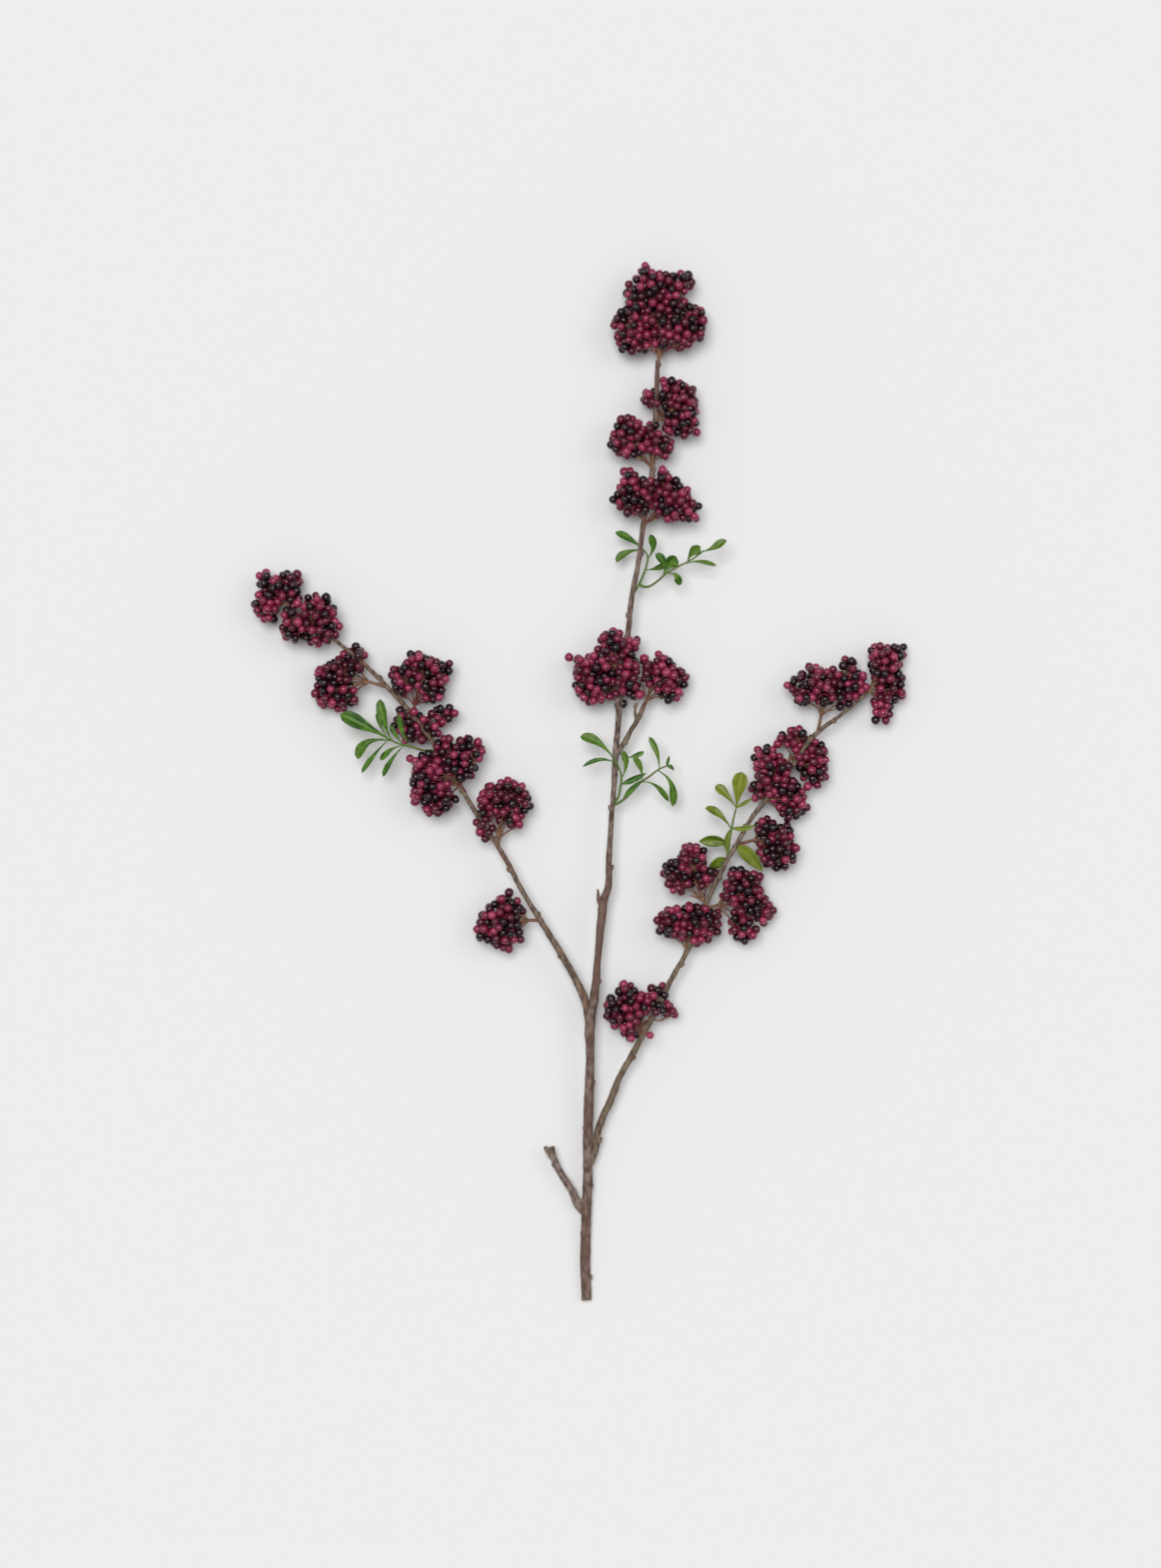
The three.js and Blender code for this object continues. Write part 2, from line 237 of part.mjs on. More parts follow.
const SHOOTS = [
  { name: 'top_leaf_shoot',
    stalks: [
      [[36, 566, 0], [42, 575, -1], [46, 584, -3], [48, 590, -4], [49, 598, -5], [46, 603, -6]],
      [[42, 575, -1], [48, 573, 1], [56, 577, 3], [64, 584, 4], [75, 590, 5], [83, 594, 6], [94, 602, 7]],
    ],
    leaves: [
      { from: [46, 603, -6], by: [37, 612, -6], to: [23, 617, -2], width: 6.4 },
      { from: [46, 603, -6], by: [31, 604, -6], to: [24, 593, -3], width: 6.6 },
      { from: [49, 596, -5], by: [57, 605, -2], to: [51, 615, 4], width: 6.2 },
      { from: [48, 587, -4], by: [56, 587, -1], to: [64, 592, 2], width: 5.2 },
      { from: [62, 583, 4], by: [65, 593, 8], to: [55, 599, 9], width: 7 },
      { from: [62, 583, 4], by: [64, 591, 5], to: [72, 597, 6], width: 12 },
      { from: [65, 584, 4], by: [75, 584, 6], to: [74, 574, 3], width: 6.6 },
      { from: [81, 593, 6], by: [83, 602, 9], to: [91, 605, 11], width: 9 },
      { from: [93, 601, 7], by: [101, 603, 9], to: [112, 610, 10], width: 6.8 },
      { from: [80, 591, 5], by: [88, 596, 6], to: [104, 590, 3], width: 3.6 },
    ] },
  { name: 'middle_leaf_shoot',
    stalks: [
      [[21, 399, 0], [25, 404, 2], [27, 412, 3], [28, 420, 4], [26, 428, 5], [22, 436, 6]],
      [[22, 398, 0], [30, 403, 2], [38, 411, 3], [44, 417, 4], [50, 421, 5], [58, 427, 6], [65, 430, 7]],
    ],
    leaves: [
      { from: [22, 435, 6], by: [11, 452, 9], to: [-5, 453, 6], width: 8.4 },
      { from: [25, 430, 5], by: [15, 440, 7], to: [-3, 429, 4], width: 3.8 },
      { from: [28, 420, 4], by: [35, 431, 6], to: [29, 442, 8], width: 5.6 },
      { from: [32, 436, 7], by: [38, 437, 8], to: [46, 441, 8], width: 4.2 },
      { from: [44, 417, 4], by: [46, 429, 8], to: [37, 437, 9], width: 5.2 },
      { from: [29, 402, 2], by: [35, 411, 4], to: [44, 418, 5], width: 4.6, lens: true },
      { from: [28, 415, 3], by: [37, 418, 5], to: [48, 424, 6], width: 5, lens: true },
      { from: [58, 426, 6], by: [59, 440, 10], to: [50, 453, 8], width: 5.2 },
      { from: [64, 430, 7], by: [65, 433, 8], to: [66, 438, 9], width: 2.4, lens: true },
      { from: [64, 430, 7], by: [67, 430, 7], to: [70, 426, 6], width: 3.2, lens: true },
      { from: [45, 417, 4], by: [58, 417, 6], to: [66, 401, 1], width: 4.8 },
      { from: [57, 426, 6], by: [73, 418, 8], to: [69, 397, 0], width: 6.2 },
    ] },
  { name: 'left_leaf_shoot',
    stalks: [
      [[-119, 442, 0], [-130, 442, 3], [-140, 445, 5], [-149, 447, 6], [-160, 452, 7]],
    ],
    leaves: [
      { from: [-159, 452, 7], by: [-175, 461, 10], to: [-197, 471, 8], width: 12 },
      { from: [-156, 450, 7], by: [-163, 464, 12], to: [-165, 483, 12], width: 8.2 },
      { from: [-159, 452, 7], by: [-166, 462, 7], to: [-168, 472, 5], width: 3.6 },
      { from: [-157, 450, 7], by: [-180, 454, 9], to: [-183, 435, 4], width: 8.4 },
      { from: [-158, 451, 7], by: [-171, 439, 5], to: [-180, 424, 0], width: 4.4 },
      { from: [-147, 446, 6], by: [-159, 444, 5], to: [-165, 434, 2], width: 5 },
      { from: [-146, 446, 5], by: [-157, 436, 4], to: [-163, 421, -2], width: 4.6 },
      { from: [-141, 445, 5], by: [-148, 455, 9], to: [-150, 471, 12], width: 5 },
      { from: [-147, 447, 6], by: [-153, 454, 7], to: [-157, 462, 8], width: 4.6 },
    ] },
  { name: 'right_leaf_shoot',
    stalks: [
      [[113, 357, 0], [114, 367, 2], [116, 379, 4], [118, 389, 5], [120, 397, 6]],
    ],
    leaves: [
      { from: [120, 396, 6], by: [112, 408, 8], to: [103, 414, 6], width: 8 },
      { from: [120, 396, 6], by: [121, 410, 9], to: [124, 425, 10], width: 12.5 },
      { from: [120, 396, 6], by: [126, 400, 6], to: [133, 404, 5], width: 3.2, lens: true },
      { from: [116, 379, 4], by: [108, 393, 6], to: [95, 396, 5], width: 7.2 },
      { from: [113, 367, 2], by: [101, 372, 2], to: [90, 369, 0], width: 9.4, lens: true },
      { from: [116, 380, 4], by: [126, 378, 5], to: [135, 382, 5], width: 4.4, lens: true },
      { from: [113, 360, 1], by: [110, 370, 4], to: [116, 380, 4], width: 5, lens: true },
    ] },
  { name: 'right_branch_leaf_low',
    stalks: [],
    leaves: [
      { from: [113, 355, -1], by: [105, 354, -3], to: [97, 346, -5], width: 8.6, lens: true },
    ] },
  { name: 'right_branch_leaf_high',
    stalks: [],
    leaves: [
      { from: [119, 366, 0], by: [130, 361, -2], to: [141, 345, -3], width: 11, lens: true },
    ] },
];

// ---------------------------------------------------------------- solids and meshes

function solidFrom(geometry) {
  geometry.deleteAttribute('normal');
  geometry.deleteAttribute('uv');
  const merged = mergeVertices(geometry, 1e-4);
  return new wasm.Manifold(new wasm.Mesh({
    numProp: 3,
    vertProperties: new Float32Array(merged.attributes.position.array),
    triVerts: new Uint32Array(merged.index.array),
  }));
}

function meshFrom(solid, name, finish) {
  const source = solid.simplify(FINEST).getMesh();
  const geometry = new THREE.BufferGeometry();
  geometry.setAttribute('position', new THREE.BufferAttribute(source.vertProperties, 3));
  geometry.setIndex(new THREE.BufferAttribute(source.triVerts, 1));
  geometry.computeVertexNormals();
  const mesh = new THREE.Mesh(geometry, new THREE.MeshStandardMaterial(finish));
  mesh.name = name;
  return mesh;
}

function joined(solids) {
  return solids.length === 1 ? solids[0] : wasm.Manifold.union(solids);
}

// The one body of a cut solid that reaches nearest to a point, or the largest of them.
function bodyAt(solid, point) {
  const bodies = solid.decompose();
  if (!point) return bodies.reduce((a, b) => (b.volume() > a.volume() ? b : a));
  const spot = new THREE.Vector3(...point);
  const reach = (body) => {
    const corners = body.getMesh().vertProperties;
    let nearest = Infinity;
    for (let i = 0; i < corners.length; i += 3) {
      const corner = new THREE.Vector3(corners[i], corners[i + 1], corners[i + 2]);
      nearest = Math.min(nearest, corner.distanceTo(spot));
    }
    return nearest;
  };
  return bodies.filter((body) => body.volume() > 1).reduce((a, b) => (reach(b) < reach(a) ? b : a));
}

// A tube along a smooth curve through the points, with its own radius at each of them.
function taperedTube(points, radii, sides, step, grow = 0) {
  const path = new THREE.CatmullRomCurve3(points, false, 'centripetal');
  const steps = Math.max(1, Math.round(path.getLength() / step));
  const section = new THREE.Shape();
  for (let i = 0; i < sides; i += 1) {
    const turn = (i / sides) * 2 * Math.PI;
    if (i === 0) section.moveTo(Math.cos(turn), Math.sin(turn));
    else section.lineTo(Math.cos(turn), Math.sin(turn));
  }
  const tube = new THREE.ExtrudeGeometry(section, { steps, extrudePath: path, bevelEnabled: false });
  const stations = path.getSpacedPoints(steps);
  const reaches = stations.map((_, i) => {
    const along = path.getUtoTmapping(i / steps) * (radii.length - 1);
    const low = Math.min(Math.floor(along), radii.length - 2);
    return THREE.MathUtils.lerp(radii[low], radii[low + 1], along - low) + grow;
  });
  const position = tube.attributes.position;
  const corner = new THREE.Vector3();
  for (let i = 0; i < position.count; i += 1) {
    corner.fromBufferAttribute(position, i);
    let nearest = 0;
    stations.forEach((station, k) => {
      if (station.distanceTo(corner) < stations[nearest].distanceTo(corner)) nearest = k;
    });
    corner.sub(stations[nearest]).multiplyScalar(reaches[nearest]).add(stations[nearest]);
    position.setXYZ(i, corner.x, corner.y, corner.z);
  }
  return solidFrom(tube);
}

function woodTube(route, grow = 0) {
  const points = route.map(([x, y]) => new THREE.Vector3(x, y, woodHeight(y)));
  return taperedTube(points, route.map((point) => point[2]), WOOD_SIDES, WOOD_STEP, grow);
}

function stalkTube(points, radius, grow = 0) {
  return taperedTube(points, points.map(() => radius), STALK_SIDES, STALK_STEP, grow);
}

// The skin round all the knots of a cluster, which are deeper than wide in its middle.
function lumpSolid(cluster, grid, grow = 0) {
  const height = cluster.height ?? CLUSTER_HEIGHT;
  const middle = new THREE.Vector2();
  cluster.knots.forEach(([x, y]) => middle.add(new THREE.Vector2(x, y)));
  middle.divideScalar(cluster.knots.length);
  const away = cluster.knots.map(([x, y]) => middle.distanceTo(new THREE.Vector2(x, y)));
  const rim = Math.max(...away) + 1;
  const room = new THREE.Box3();
  const knots = cluster.knots.map(([x, y, radius], i) => {
    const swell = Math.sqrt(1 - (away[i] / rim) ** 2);
    const depth = Math.min(radius * (KNOT_DEPTH + KNOT_SWELL * swell), height - LUMP_CLEARANCE);
    const at = new THREE.Vector3(x, y, height);
    const reach = new THREE.Vector3(radius, radius, depth);
    room.expandByPoint(at.clone().add(reach)).expandByPoint(at.clone().sub(reach));
    return { at, reach, radius };
  });
  room.expandByScalar(grid);
  const inside = ([x, y, z]) => Math.max(...knots.map(({ at, reach, radius }) => {
    const out = Math.hypot((x - at.x) / reach.x, (y - at.y) / reach.y, (z - at.z) / reach.z);
    return (1 - out) * radius + LUMP_SWELL;
  }));
  const bounds = { min: room.min.toArray(), max: room.max.toArray() };
  return wasm.Manifold.levelSet(inside, bounds, grid, -grow);
}

// True if a solid has an edge where more than two of its facets meet.
function touchesItself(solid) {
  const { vertProperties, triVerts } = solid.getMesh();
  const spot = (i) => [0, 1, 2].map((k) => vertProperties[3 * i + k].toFixed(3)).join();
  const facets = new Map();
  for (let i = 0; i < triVerts.length; i += 3) {
    for (let side = 0; side < 3; side += 1) {
      const edge = [spot(triVerts[i + side]), spot(triVerts[i + ((side + 1) % 3)])].sort().join('|');
      facets.set(edge, (facets.get(edge) ?? 0) + 1);
    }
  }
  return [...facets.values()].some((count) => count !== 2);
}

// A cluster's stalks: one from the wood to the fork, then a few from there in among the knots.
function fanSolid(cluster, grow = 0) {
  const foot = new THREE.Vector3(...cluster.foot, woodHeight(cluster.foot[1]));
  const height = cluster.height ?? CLUSTER_HEIGHT;
  const fork = new THREE.Vector3(...cluster.fork, (foot.z + height) / 2);
  const ball = new THREE.OctahedronGeometry(FORK_RADIUS + grow, 0);
  ball.translate(fork.x, fork.y, fork.z);
  const parts = [stalkTube([foot, fork], PEDUNCLE_RADIUS, grow), solidFrom(ball)];
  for (let i = 0; i < FAN_STALKS; i += 1) {
    const [x, y] = cluster.knots[Math.floor(((i + 0.5) / FAN_STALKS) * cluster.knots.length)];
    const end = fork.clone().lerp(new THREE.Vector3(x, y, height), FAN_REACH);
    parts.push(stalkTube([fork, end], STALK_RADIUS, grow));
  }
  return joined(parts);
}

// A leaf blade: its flat outline is bent along the curve from foot to tip.
function leafSolid(leaf, grow = 0) {
  const place = ([x, y, over]) => new THREE.Vector3(x, y, woodHeight(y) + over);
  const spine = new THREE.QuadraticBezierCurve3(place(leaf.from), place(leaf.by), place(leaf.to));
  const half = leaf.width / 2 + grow;
  const foot = 0.7 + grow;
  const shape = new THREE.Shape();
  const widest = leaf.lens ? 0.5 : 0.72;
  shape.moveTo(0, -foot);
  shape.quadraticCurveTo(widest * 0.6, leaf.lens ? -half : -foot, widest, -half);
  shape.quadraticCurveTo(0.98, -half, 1, 0);
  shape.quadraticCurveTo(0.98, half, widest, half);
  shape.quadraticCurveTo(widest * 0.6, leaf.lens ? half : foot, 0, foot);
  const thick = LEAF_THICKNESS + 2 * grow;
  const blade = new THREE.ExtrudeGeometry(shape, { depth: thick, bevelEnabled: false, curveSegments: 2 });
  const position = blade.attributes.position;
  const up = new THREE.Vector3(0, 0, 1);
  for (let i = 0; i < position.count; i += 1) {
    const along = THREE.MathUtils.clamp(position.getX(i), 0, 1);
    const side = new THREE.Vector3().crossVectors(up, spine.getTangent(along)).normalize();
    const spot = spine.getPoint(along).addScaledVector(side, position.getY(i));
    position.setXYZ(i, spot.x, spot.y, spot.z + position.getZ(i) - thick / 2);
  }
  return solidFrom(blade);
}

function shootSolid(shoot, grow = 0) {
  const place = ([x, y, over]) => new THREE.Vector3(x, y, woodHeight(y) + over);
  const stalks = shoot.stalks.map((stalk) => stalkTube(stalk.map(place), SHOOT_STALK_RADIUS, grow));
  return joined([...stalks, ...shoot.leaves.map((leaf) => leafSolid(leaf, grow))]);
}

// ---------------------------------------------------------------- putting it together

const sprig = new THREE.Group();

const mainStem = woodTube(MAIN_STEM);
const mainStemClear = woodTube(MAIN_STEM, GAP);
const woodParts = [
  ['left_branch', joined([woodTube(LEFT_BRANCH)]), joined([woodTube(LEFT_BRANCH, GAP)])],
  ['right_branch', joined([woodTube(RIGHT_BRANCH)]), joined([woodTube(RIGHT_BRANCH, GAP)])],
  ['cut_side_shoot', joined([woodTube(CUT_SHOOT), woodTube(CUT_SHOOT_PRONG)]),
    joined([woodTube(CUT_SHOOT, GAP), woodTube(CUT_SHOOT_PRONG, GAP)])],
  ['upper_twig', joined([woodTube(UPPER_TWIG), woodTube(DEAD_SPUR)]),
    joined([woodTube(UPPER_TWIG, GAP), woodTube(DEAD_SPUR, GAP)])],
];
sprig.add(meshFrom(mainStem, 'main_stem', WOOD_FINISH));
woodParts.forEach(([name, solid]) => {
  sprig.add(meshFrom(bodyAt(solid.subtract(mainStemClear)), name, SHOOT_WOOD_FINISH));
});
const woodClear = joined([mainStemClear, ...woodParts.map((part) => part[2])]);
const overWood = joined([0, 6, 12, 18, 24].map((lift) => woodClear.translate([0, 0, lift])));

// stalks first, then the berries, each lump clear of wood, stalks and the lumps before it
let taken = woodClear;
for (const cluster of CLUSTERS) {
  const body = bodyAt(fanSolid(cluster).subtract(taken));
  taken = taken.add(fanSolid(cluster, GAP));
  sprig.add(meshFrom(body, `${cluster.name}_stalks`, STALK_FINISH));
}
for (const cluster of CLUSTERS) {
  const cutter = cluster.under ? joined([taken, overWood]) : taken;
  let grid = LUMP_GRID;
  let body;
  do {
    const lump = lumpSolid(cluster, grid).simplify(LUMP_DETAIL);
    body = bodyAt(lump.subtract(cutter)).simplify(FINEST);
    grid -= GRID_STEP;
  } while (touchesItself(body));
  taken = taken.add(lumpSolid(cluster, LUMP_GRID, LUMP_CLEARANCE));
  sprig.add(meshFrom(body, `${cluster.name}_berries`, BERRY_FINISH));
}

// then the leafy shoots, clear of everything
for (const shoot of SHOOTS) {
  const [x, y, over] = (shoot.stalks[0] ?? [shoot.leaves[0].from])[0];
  const body = bodyAt(shootSolid(shoot).subtract(taken), [x, y, woodHeight(y) + over]);
  taken = taken.add(shootSolid(shoot, GAP));
  sprig.add(meshFrom(body, shoot.name, LEAF_FINISH));
}

// the origin goes to the middle of the box that the sprig fills, at the floor it lies on
const box = new THREE.Box3().setFromObject(sprig);
const centre = box.getCenter(new THREE.Vector3());
sprig.position.set(-centre.x, -centre.y, -box.min.z);

export default sprig;
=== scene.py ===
# A cut sprig of dark berries lying on a pale table, seen from straight above. The packed
# model is the frame: the wood, the stalks, the berries and the leaves are made over it.
import itertools
import math
import random

import bpy
import numpy as np
from mathutils import Matrix, Vector
from mathutils.bvhtree import BVHTree


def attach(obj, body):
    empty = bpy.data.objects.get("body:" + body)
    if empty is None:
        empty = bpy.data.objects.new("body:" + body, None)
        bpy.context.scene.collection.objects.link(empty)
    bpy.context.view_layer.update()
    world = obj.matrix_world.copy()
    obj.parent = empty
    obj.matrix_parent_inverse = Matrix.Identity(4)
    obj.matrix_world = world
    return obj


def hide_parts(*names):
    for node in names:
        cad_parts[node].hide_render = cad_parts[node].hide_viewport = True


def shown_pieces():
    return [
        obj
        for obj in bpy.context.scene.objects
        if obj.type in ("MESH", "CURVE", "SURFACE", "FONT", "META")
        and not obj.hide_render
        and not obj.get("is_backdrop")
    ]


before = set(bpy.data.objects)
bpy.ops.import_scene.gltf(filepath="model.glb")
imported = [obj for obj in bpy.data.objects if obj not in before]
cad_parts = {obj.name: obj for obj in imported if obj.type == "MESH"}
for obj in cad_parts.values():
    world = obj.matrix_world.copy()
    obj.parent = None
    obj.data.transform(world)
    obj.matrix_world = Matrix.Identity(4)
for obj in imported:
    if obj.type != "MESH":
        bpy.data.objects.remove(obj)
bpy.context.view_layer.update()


# The table, the studio light and the camera. The sprig lies flat on a plain pale table under
# large soft lamps, and the camera looks straight down on it, with the tip away from the viewer.
# Places along the sprig are told in millimetres from the middle of the stem's cut end.
RISE_LENGTH = 250
CUT_END_HEIGHT = 4.1
CARRIED_HEIGHT = 20

stem_points = [vertex.co.copy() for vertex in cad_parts["main_stem"].data.vertices]
stem_foot = min(point.y for point in stem_points)
cut_ring = [point for point in stem_points if point.y < stem_foot + 0.0008]
CUT_END = sum(cut_ring, Vector()) / len(cut_ring)


def wood_height(y):
    part = min(max(y / RISE_LENGTH, 0), 1)
    return CUT_END_HEIGHT + (CARRIED_HEIGHT - CUT_END_HEIGHT) * part * part * (3 - 2 * part)


def on_sprig(x, y, over=0.0):
    return Vector((CUT_END.x + x / 1000, CUT_END.y + y / 1000, (wood_height(y) + over) / 1000))


def plain_material(name, color, roughness):
    material = bpy.data.materials.new(name)
    material.use_nodes = True
    shader = material.node_tree.nodes["Principled BSDF"]
    shader.inputs["Base Color"].default_value = (*color, 1)
    shader.inputs["Roughness"].default_value = roughness
    return material, material.node_tree, shader


bpy.ops.object.select_all(action="DESELECT")
bpy.ops.mesh.primitive_plane_add(size=9, location=(0, 0, 0))
table = bpy.context.object
table.name = "table"
table_paint, tree, shader = plain_material("table_paint", (0.8, 0.8, 0.8), 0.9)
table.data.materials.append(table_paint)
table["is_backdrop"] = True

world = bpy.data.worlds.new("studio")
world.use_nodes = True
world.node_tree.nodes["Background"].inputs["Color"].default_value = (1, 1, 1, 1)
world.node_tree.nodes["Background"].inputs["Strength"].default_value = 0.36
bpy.context.scene.world = world


def studio_light(name, lean, strength, softness):
    """A large far lamp: it lights the whole table evenly from the direction it leans to."""
    data = bpy.data.lights.new(name, "SUN")
    data.energy = strength
    data.angle = softness
    lamp = bpy.data.objects.new(name, data)
    bpy.context.collection.objects.link(lamp)
    lamp.location = Vector(lean).normalized() * 3
    lamp.rotation_euler = Vector(lean).to_track_quat("Z", "Y").to_euler()


studio_light("key_light", (-0.13, 0.2, 1), 2.0, 0.55)
studio_light("side_light", (0.9, 0.3, 1), 0.35, 0.6)

CAMERA_HEIGHT = 3.49
CAMERA_PLACE = (-4.8, 415.2)
camera_data = bpy.data.cameras.new("camera")
camera_data.lens = 100
camera_data.sensor_width = 36
camera = bpy.data.objects.new("camera", camera_data)
bpy.context.collection.objects.link(camera)
camera.location = (CUT_END.x + CAMERA_PLACE[0] / 1000, CUT_END.y + CAMERA_PLACE[1] / 1000,
                   CAMERA_HEIGHT + CARRIED_HEIGHT / 1000)
bpy.context.scene.camera = camera
bpy.context.scene.view_settings.view_transform = "Standard"


# The wood: the main stem, its two long side branches, a twig and a cut stub. Grown in one with
# each other, they are round, taper towards their tips, and have thin rough bark with small buds
# and scars. Each is a swept tube, roughened, with the buds grown out of it.
MAIN_STEM = (
    (0, 0, 4.1), (-1, 35, 4.0), (0, 71, 4.0), (1, 99, 3.8), (1, 123, 3.9), (2, 163, 4.0),
    (3, 195, 3.3), (3, 227, 4.3), (6, 243, 3.6), (9, 275, 2.7), (12, 307, 3.5), (14, 323, 3.5),
    (17, 331, 2.9), (18, 355, 2.4), (20, 387, 2.1), (22, 411, 2.1), (23, 435, 2.5),
    (25, 459, 2.3), (26, 471, 2.5), (26, 483, 3.4), (28, 515, 2.4), (33, 535, 2.2),
    (36, 563, 2.2), (42, 595, 2.0), (46, 627, 2.0), (50, 647, 2.0), (53, 671, 2.0),
    (55, 699, 2.0), (56, 723, 1.9), (57, 754, 1.8),
)
LEFT_BRANCH = (
    (2, 227, 3.4), (-1, 241, 3.3), (-7, 255, 3.0), (-18, 275, 2.8), (-37, 306, 2.3),
    (-50, 327, 2.0), (-66, 357, 2.0), (-88, 391, 1.9), (-112, 431, 1.8), (-128, 455, 1.8),
    (-138, 469, 1.9), (-158, 491, 1.8), (-178, 511, 1.7), (-202, 531, 1.4), (-220, 546, 1.3),
    (-235, 555, 1.2),
)
RIGHT_BRANCH = (
    (3, 111, 3.2), (7, 123, 3.1), (10, 139, 2.9), (20, 163, 2.9), (28, 183, 2.6),
    (35, 195, 2.5), (45, 214, 2.4), (58, 238, 2.3), (66, 255, 2.2), (80, 280, 2.0),
    (95, 317, 1.9), (111, 351, 1.8), (122, 370, 1.9), (133, 389, 1.8), (140, 398, 2.0),
    (166, 431, 2.0), (177, 448, 2.0), (187, 458, 1.9), (207, 473, 1.5), (224, 488, 1.4),
)
CUT_SHOOT = (
    (-2, 71, 3.3), (-7, 77, 3.2), (-12, 89, 3.0), (-21, 103, 2.8), (-26, 114, 2.7),
    (-28, 124, 2.2),
)
CUT_SHOOT_PRONG = (
    (-27, 114, 1.8), (-30, 117, 1.7), (-33, 124, 1.5),
)
UPPER_TWIG = (
    (25, 439, 2.3), (28, 445, 2.2), (32, 451, 2.1), (36, 459, 2.0), (41, 467, 2.1),
    (46, 478, 1.8),
)
DEAD_SPUR = (
    (40, 467, 1.3), (39, 472, 1.2), (40, 480, 1.1),
)
SNAG = ((12, 317, 2.4), (10, 323, 1.9), (9, 331, 0.7))

# in millimetres: how far apart the buds sit along the wood, how long one is, and the depth
# and the grain of the lumps in the bark
BUD_STEP = 41
BUD_LENGTH = 3.4
BARK_ROUGHNESS = 1.1
BARK_GRAIN = 6


def limbs(name, lines, rings=5, roundness=3):
    """One mesh of tubes: each line is a list of (point, radius), in metres."""
    curve = bpy.data.curves.new(name, "CURVE")
    curve.dimensions = "3D"
    curve.bevel_depth = 1
    curve.bevel_resolution = roundness
    curve.resolution_u = rings
    curve.use_fill_caps = True
    for line in lines:
        spline = curve.splines.new("BEZIER")
        spline.bezier_points.add(len(line) - 1)
        for knot, (point, radius) in zip(spline.bezier_points, line):
            knot.co = point
            knot.radius = radius
            knot.handle_left_type = "AUTO"
            knot.handle_right_type = "AUTO"
    piece = bpy.data.objects.new(name, curve)
    bpy.context.collection.objects.link(piece)
    bpy.ops.object.select_all(action="DESELECT")
    piece.select_set(True)
    bpy.context.view_layer.objects.active = piece
    bpy.ops.object.convert(target="MESH")
    piece = bpy.context.object
    piece.data.polygons.foreach_set("use_smooth", [True] * len(piece.data.polygons))
    return piece


def join_into(piece, others):
    bpy.ops.object.select_all(action="DESELECT")
    for other in others:
        other.select_set(True)
    piece.select_set(True)
    bpy.context.view_layer.objects.active = piece
    bpy.ops.object.join()
    return piece


def bud(spot, outward, along, length):
    """A small pointed bud that leans out of the wood."""
    bpy.ops.object.select_all(action="DESELECT")
    bpy.ops.mesh.primitive_uv_sphere_add(segments=8, ring_count=6, radius=1)
    piece = bpy.context.object
    lean = (outward * 0.6 + along).normalized()
    turn = lean.to_track_quat("Z", "Y").to_matrix()
    for vertex in piece.data.vertices:
        point = vertex.co
        width = 0.46 * (1 - 0.4 * point.z)
        point = Vector((point.x * width, point.y * width, point.z * 0.8))
        vertex.co = spot + turn @ (point * length / 1000)
    piece.data.polygons.foreach_set("use_smooth", [True] * len(piece.data.polygons))
    return piece


def wood_piece(node, routes, seed):
    chance = random.Random(seed)
    lines = [[(on_sprig(x, y), radius / 1000) for x, y, radius in route] for route in routes]
    piece = limbs(node + "_wood", lines, rings=8, roundness=5)
    roughen = piece.modifiers.new("bark_lumps", "DISPLACE")
    roughen.texture = bark_lumps
    roughen.strength = BARK_ROUGHNESS / 1000
    roughen.mid_level = 0.5
    bpy.ops.object.modifier_apply(modifier=roughen.name)
    buds = []
    side = 1
    for route in routes:
        walked = chance.uniform(8, 20)
        for (x, y, radius), (next_x, next_y, _) in zip(route, route[1:]):
            length = math.hypot(next_x - x, next_y - y)
            while walked < length:
                along = Vector((next_x - x, next_y - y, 0)).normalized()
                outward = Vector((along.y, -along.x, 0.45)).normalized() * side
                outward.z = abs(outward.z)
                part = walked / length
                spot = on_sprig(x + (next_x - x) * part, y + (next_y - y) * part)
                spot += outward * (radius * 0.92 / 1000)
                buds.append(bud(spot, outward, along, BUD_LENGTH * chance.uniform(0.7, 1.15)))
                side = -side
                walked += BUD_STEP * chance.uniform(0.55, 1.3)
            walked -= length
    return join_into(piece, buds)


bark_lumps = bpy.data.textures.new("bark_lumps", "CLOUDS")
bark_lumps.noise_scale = BARK_GRAIN / 1000
bark_lumps.noise_depth = 2


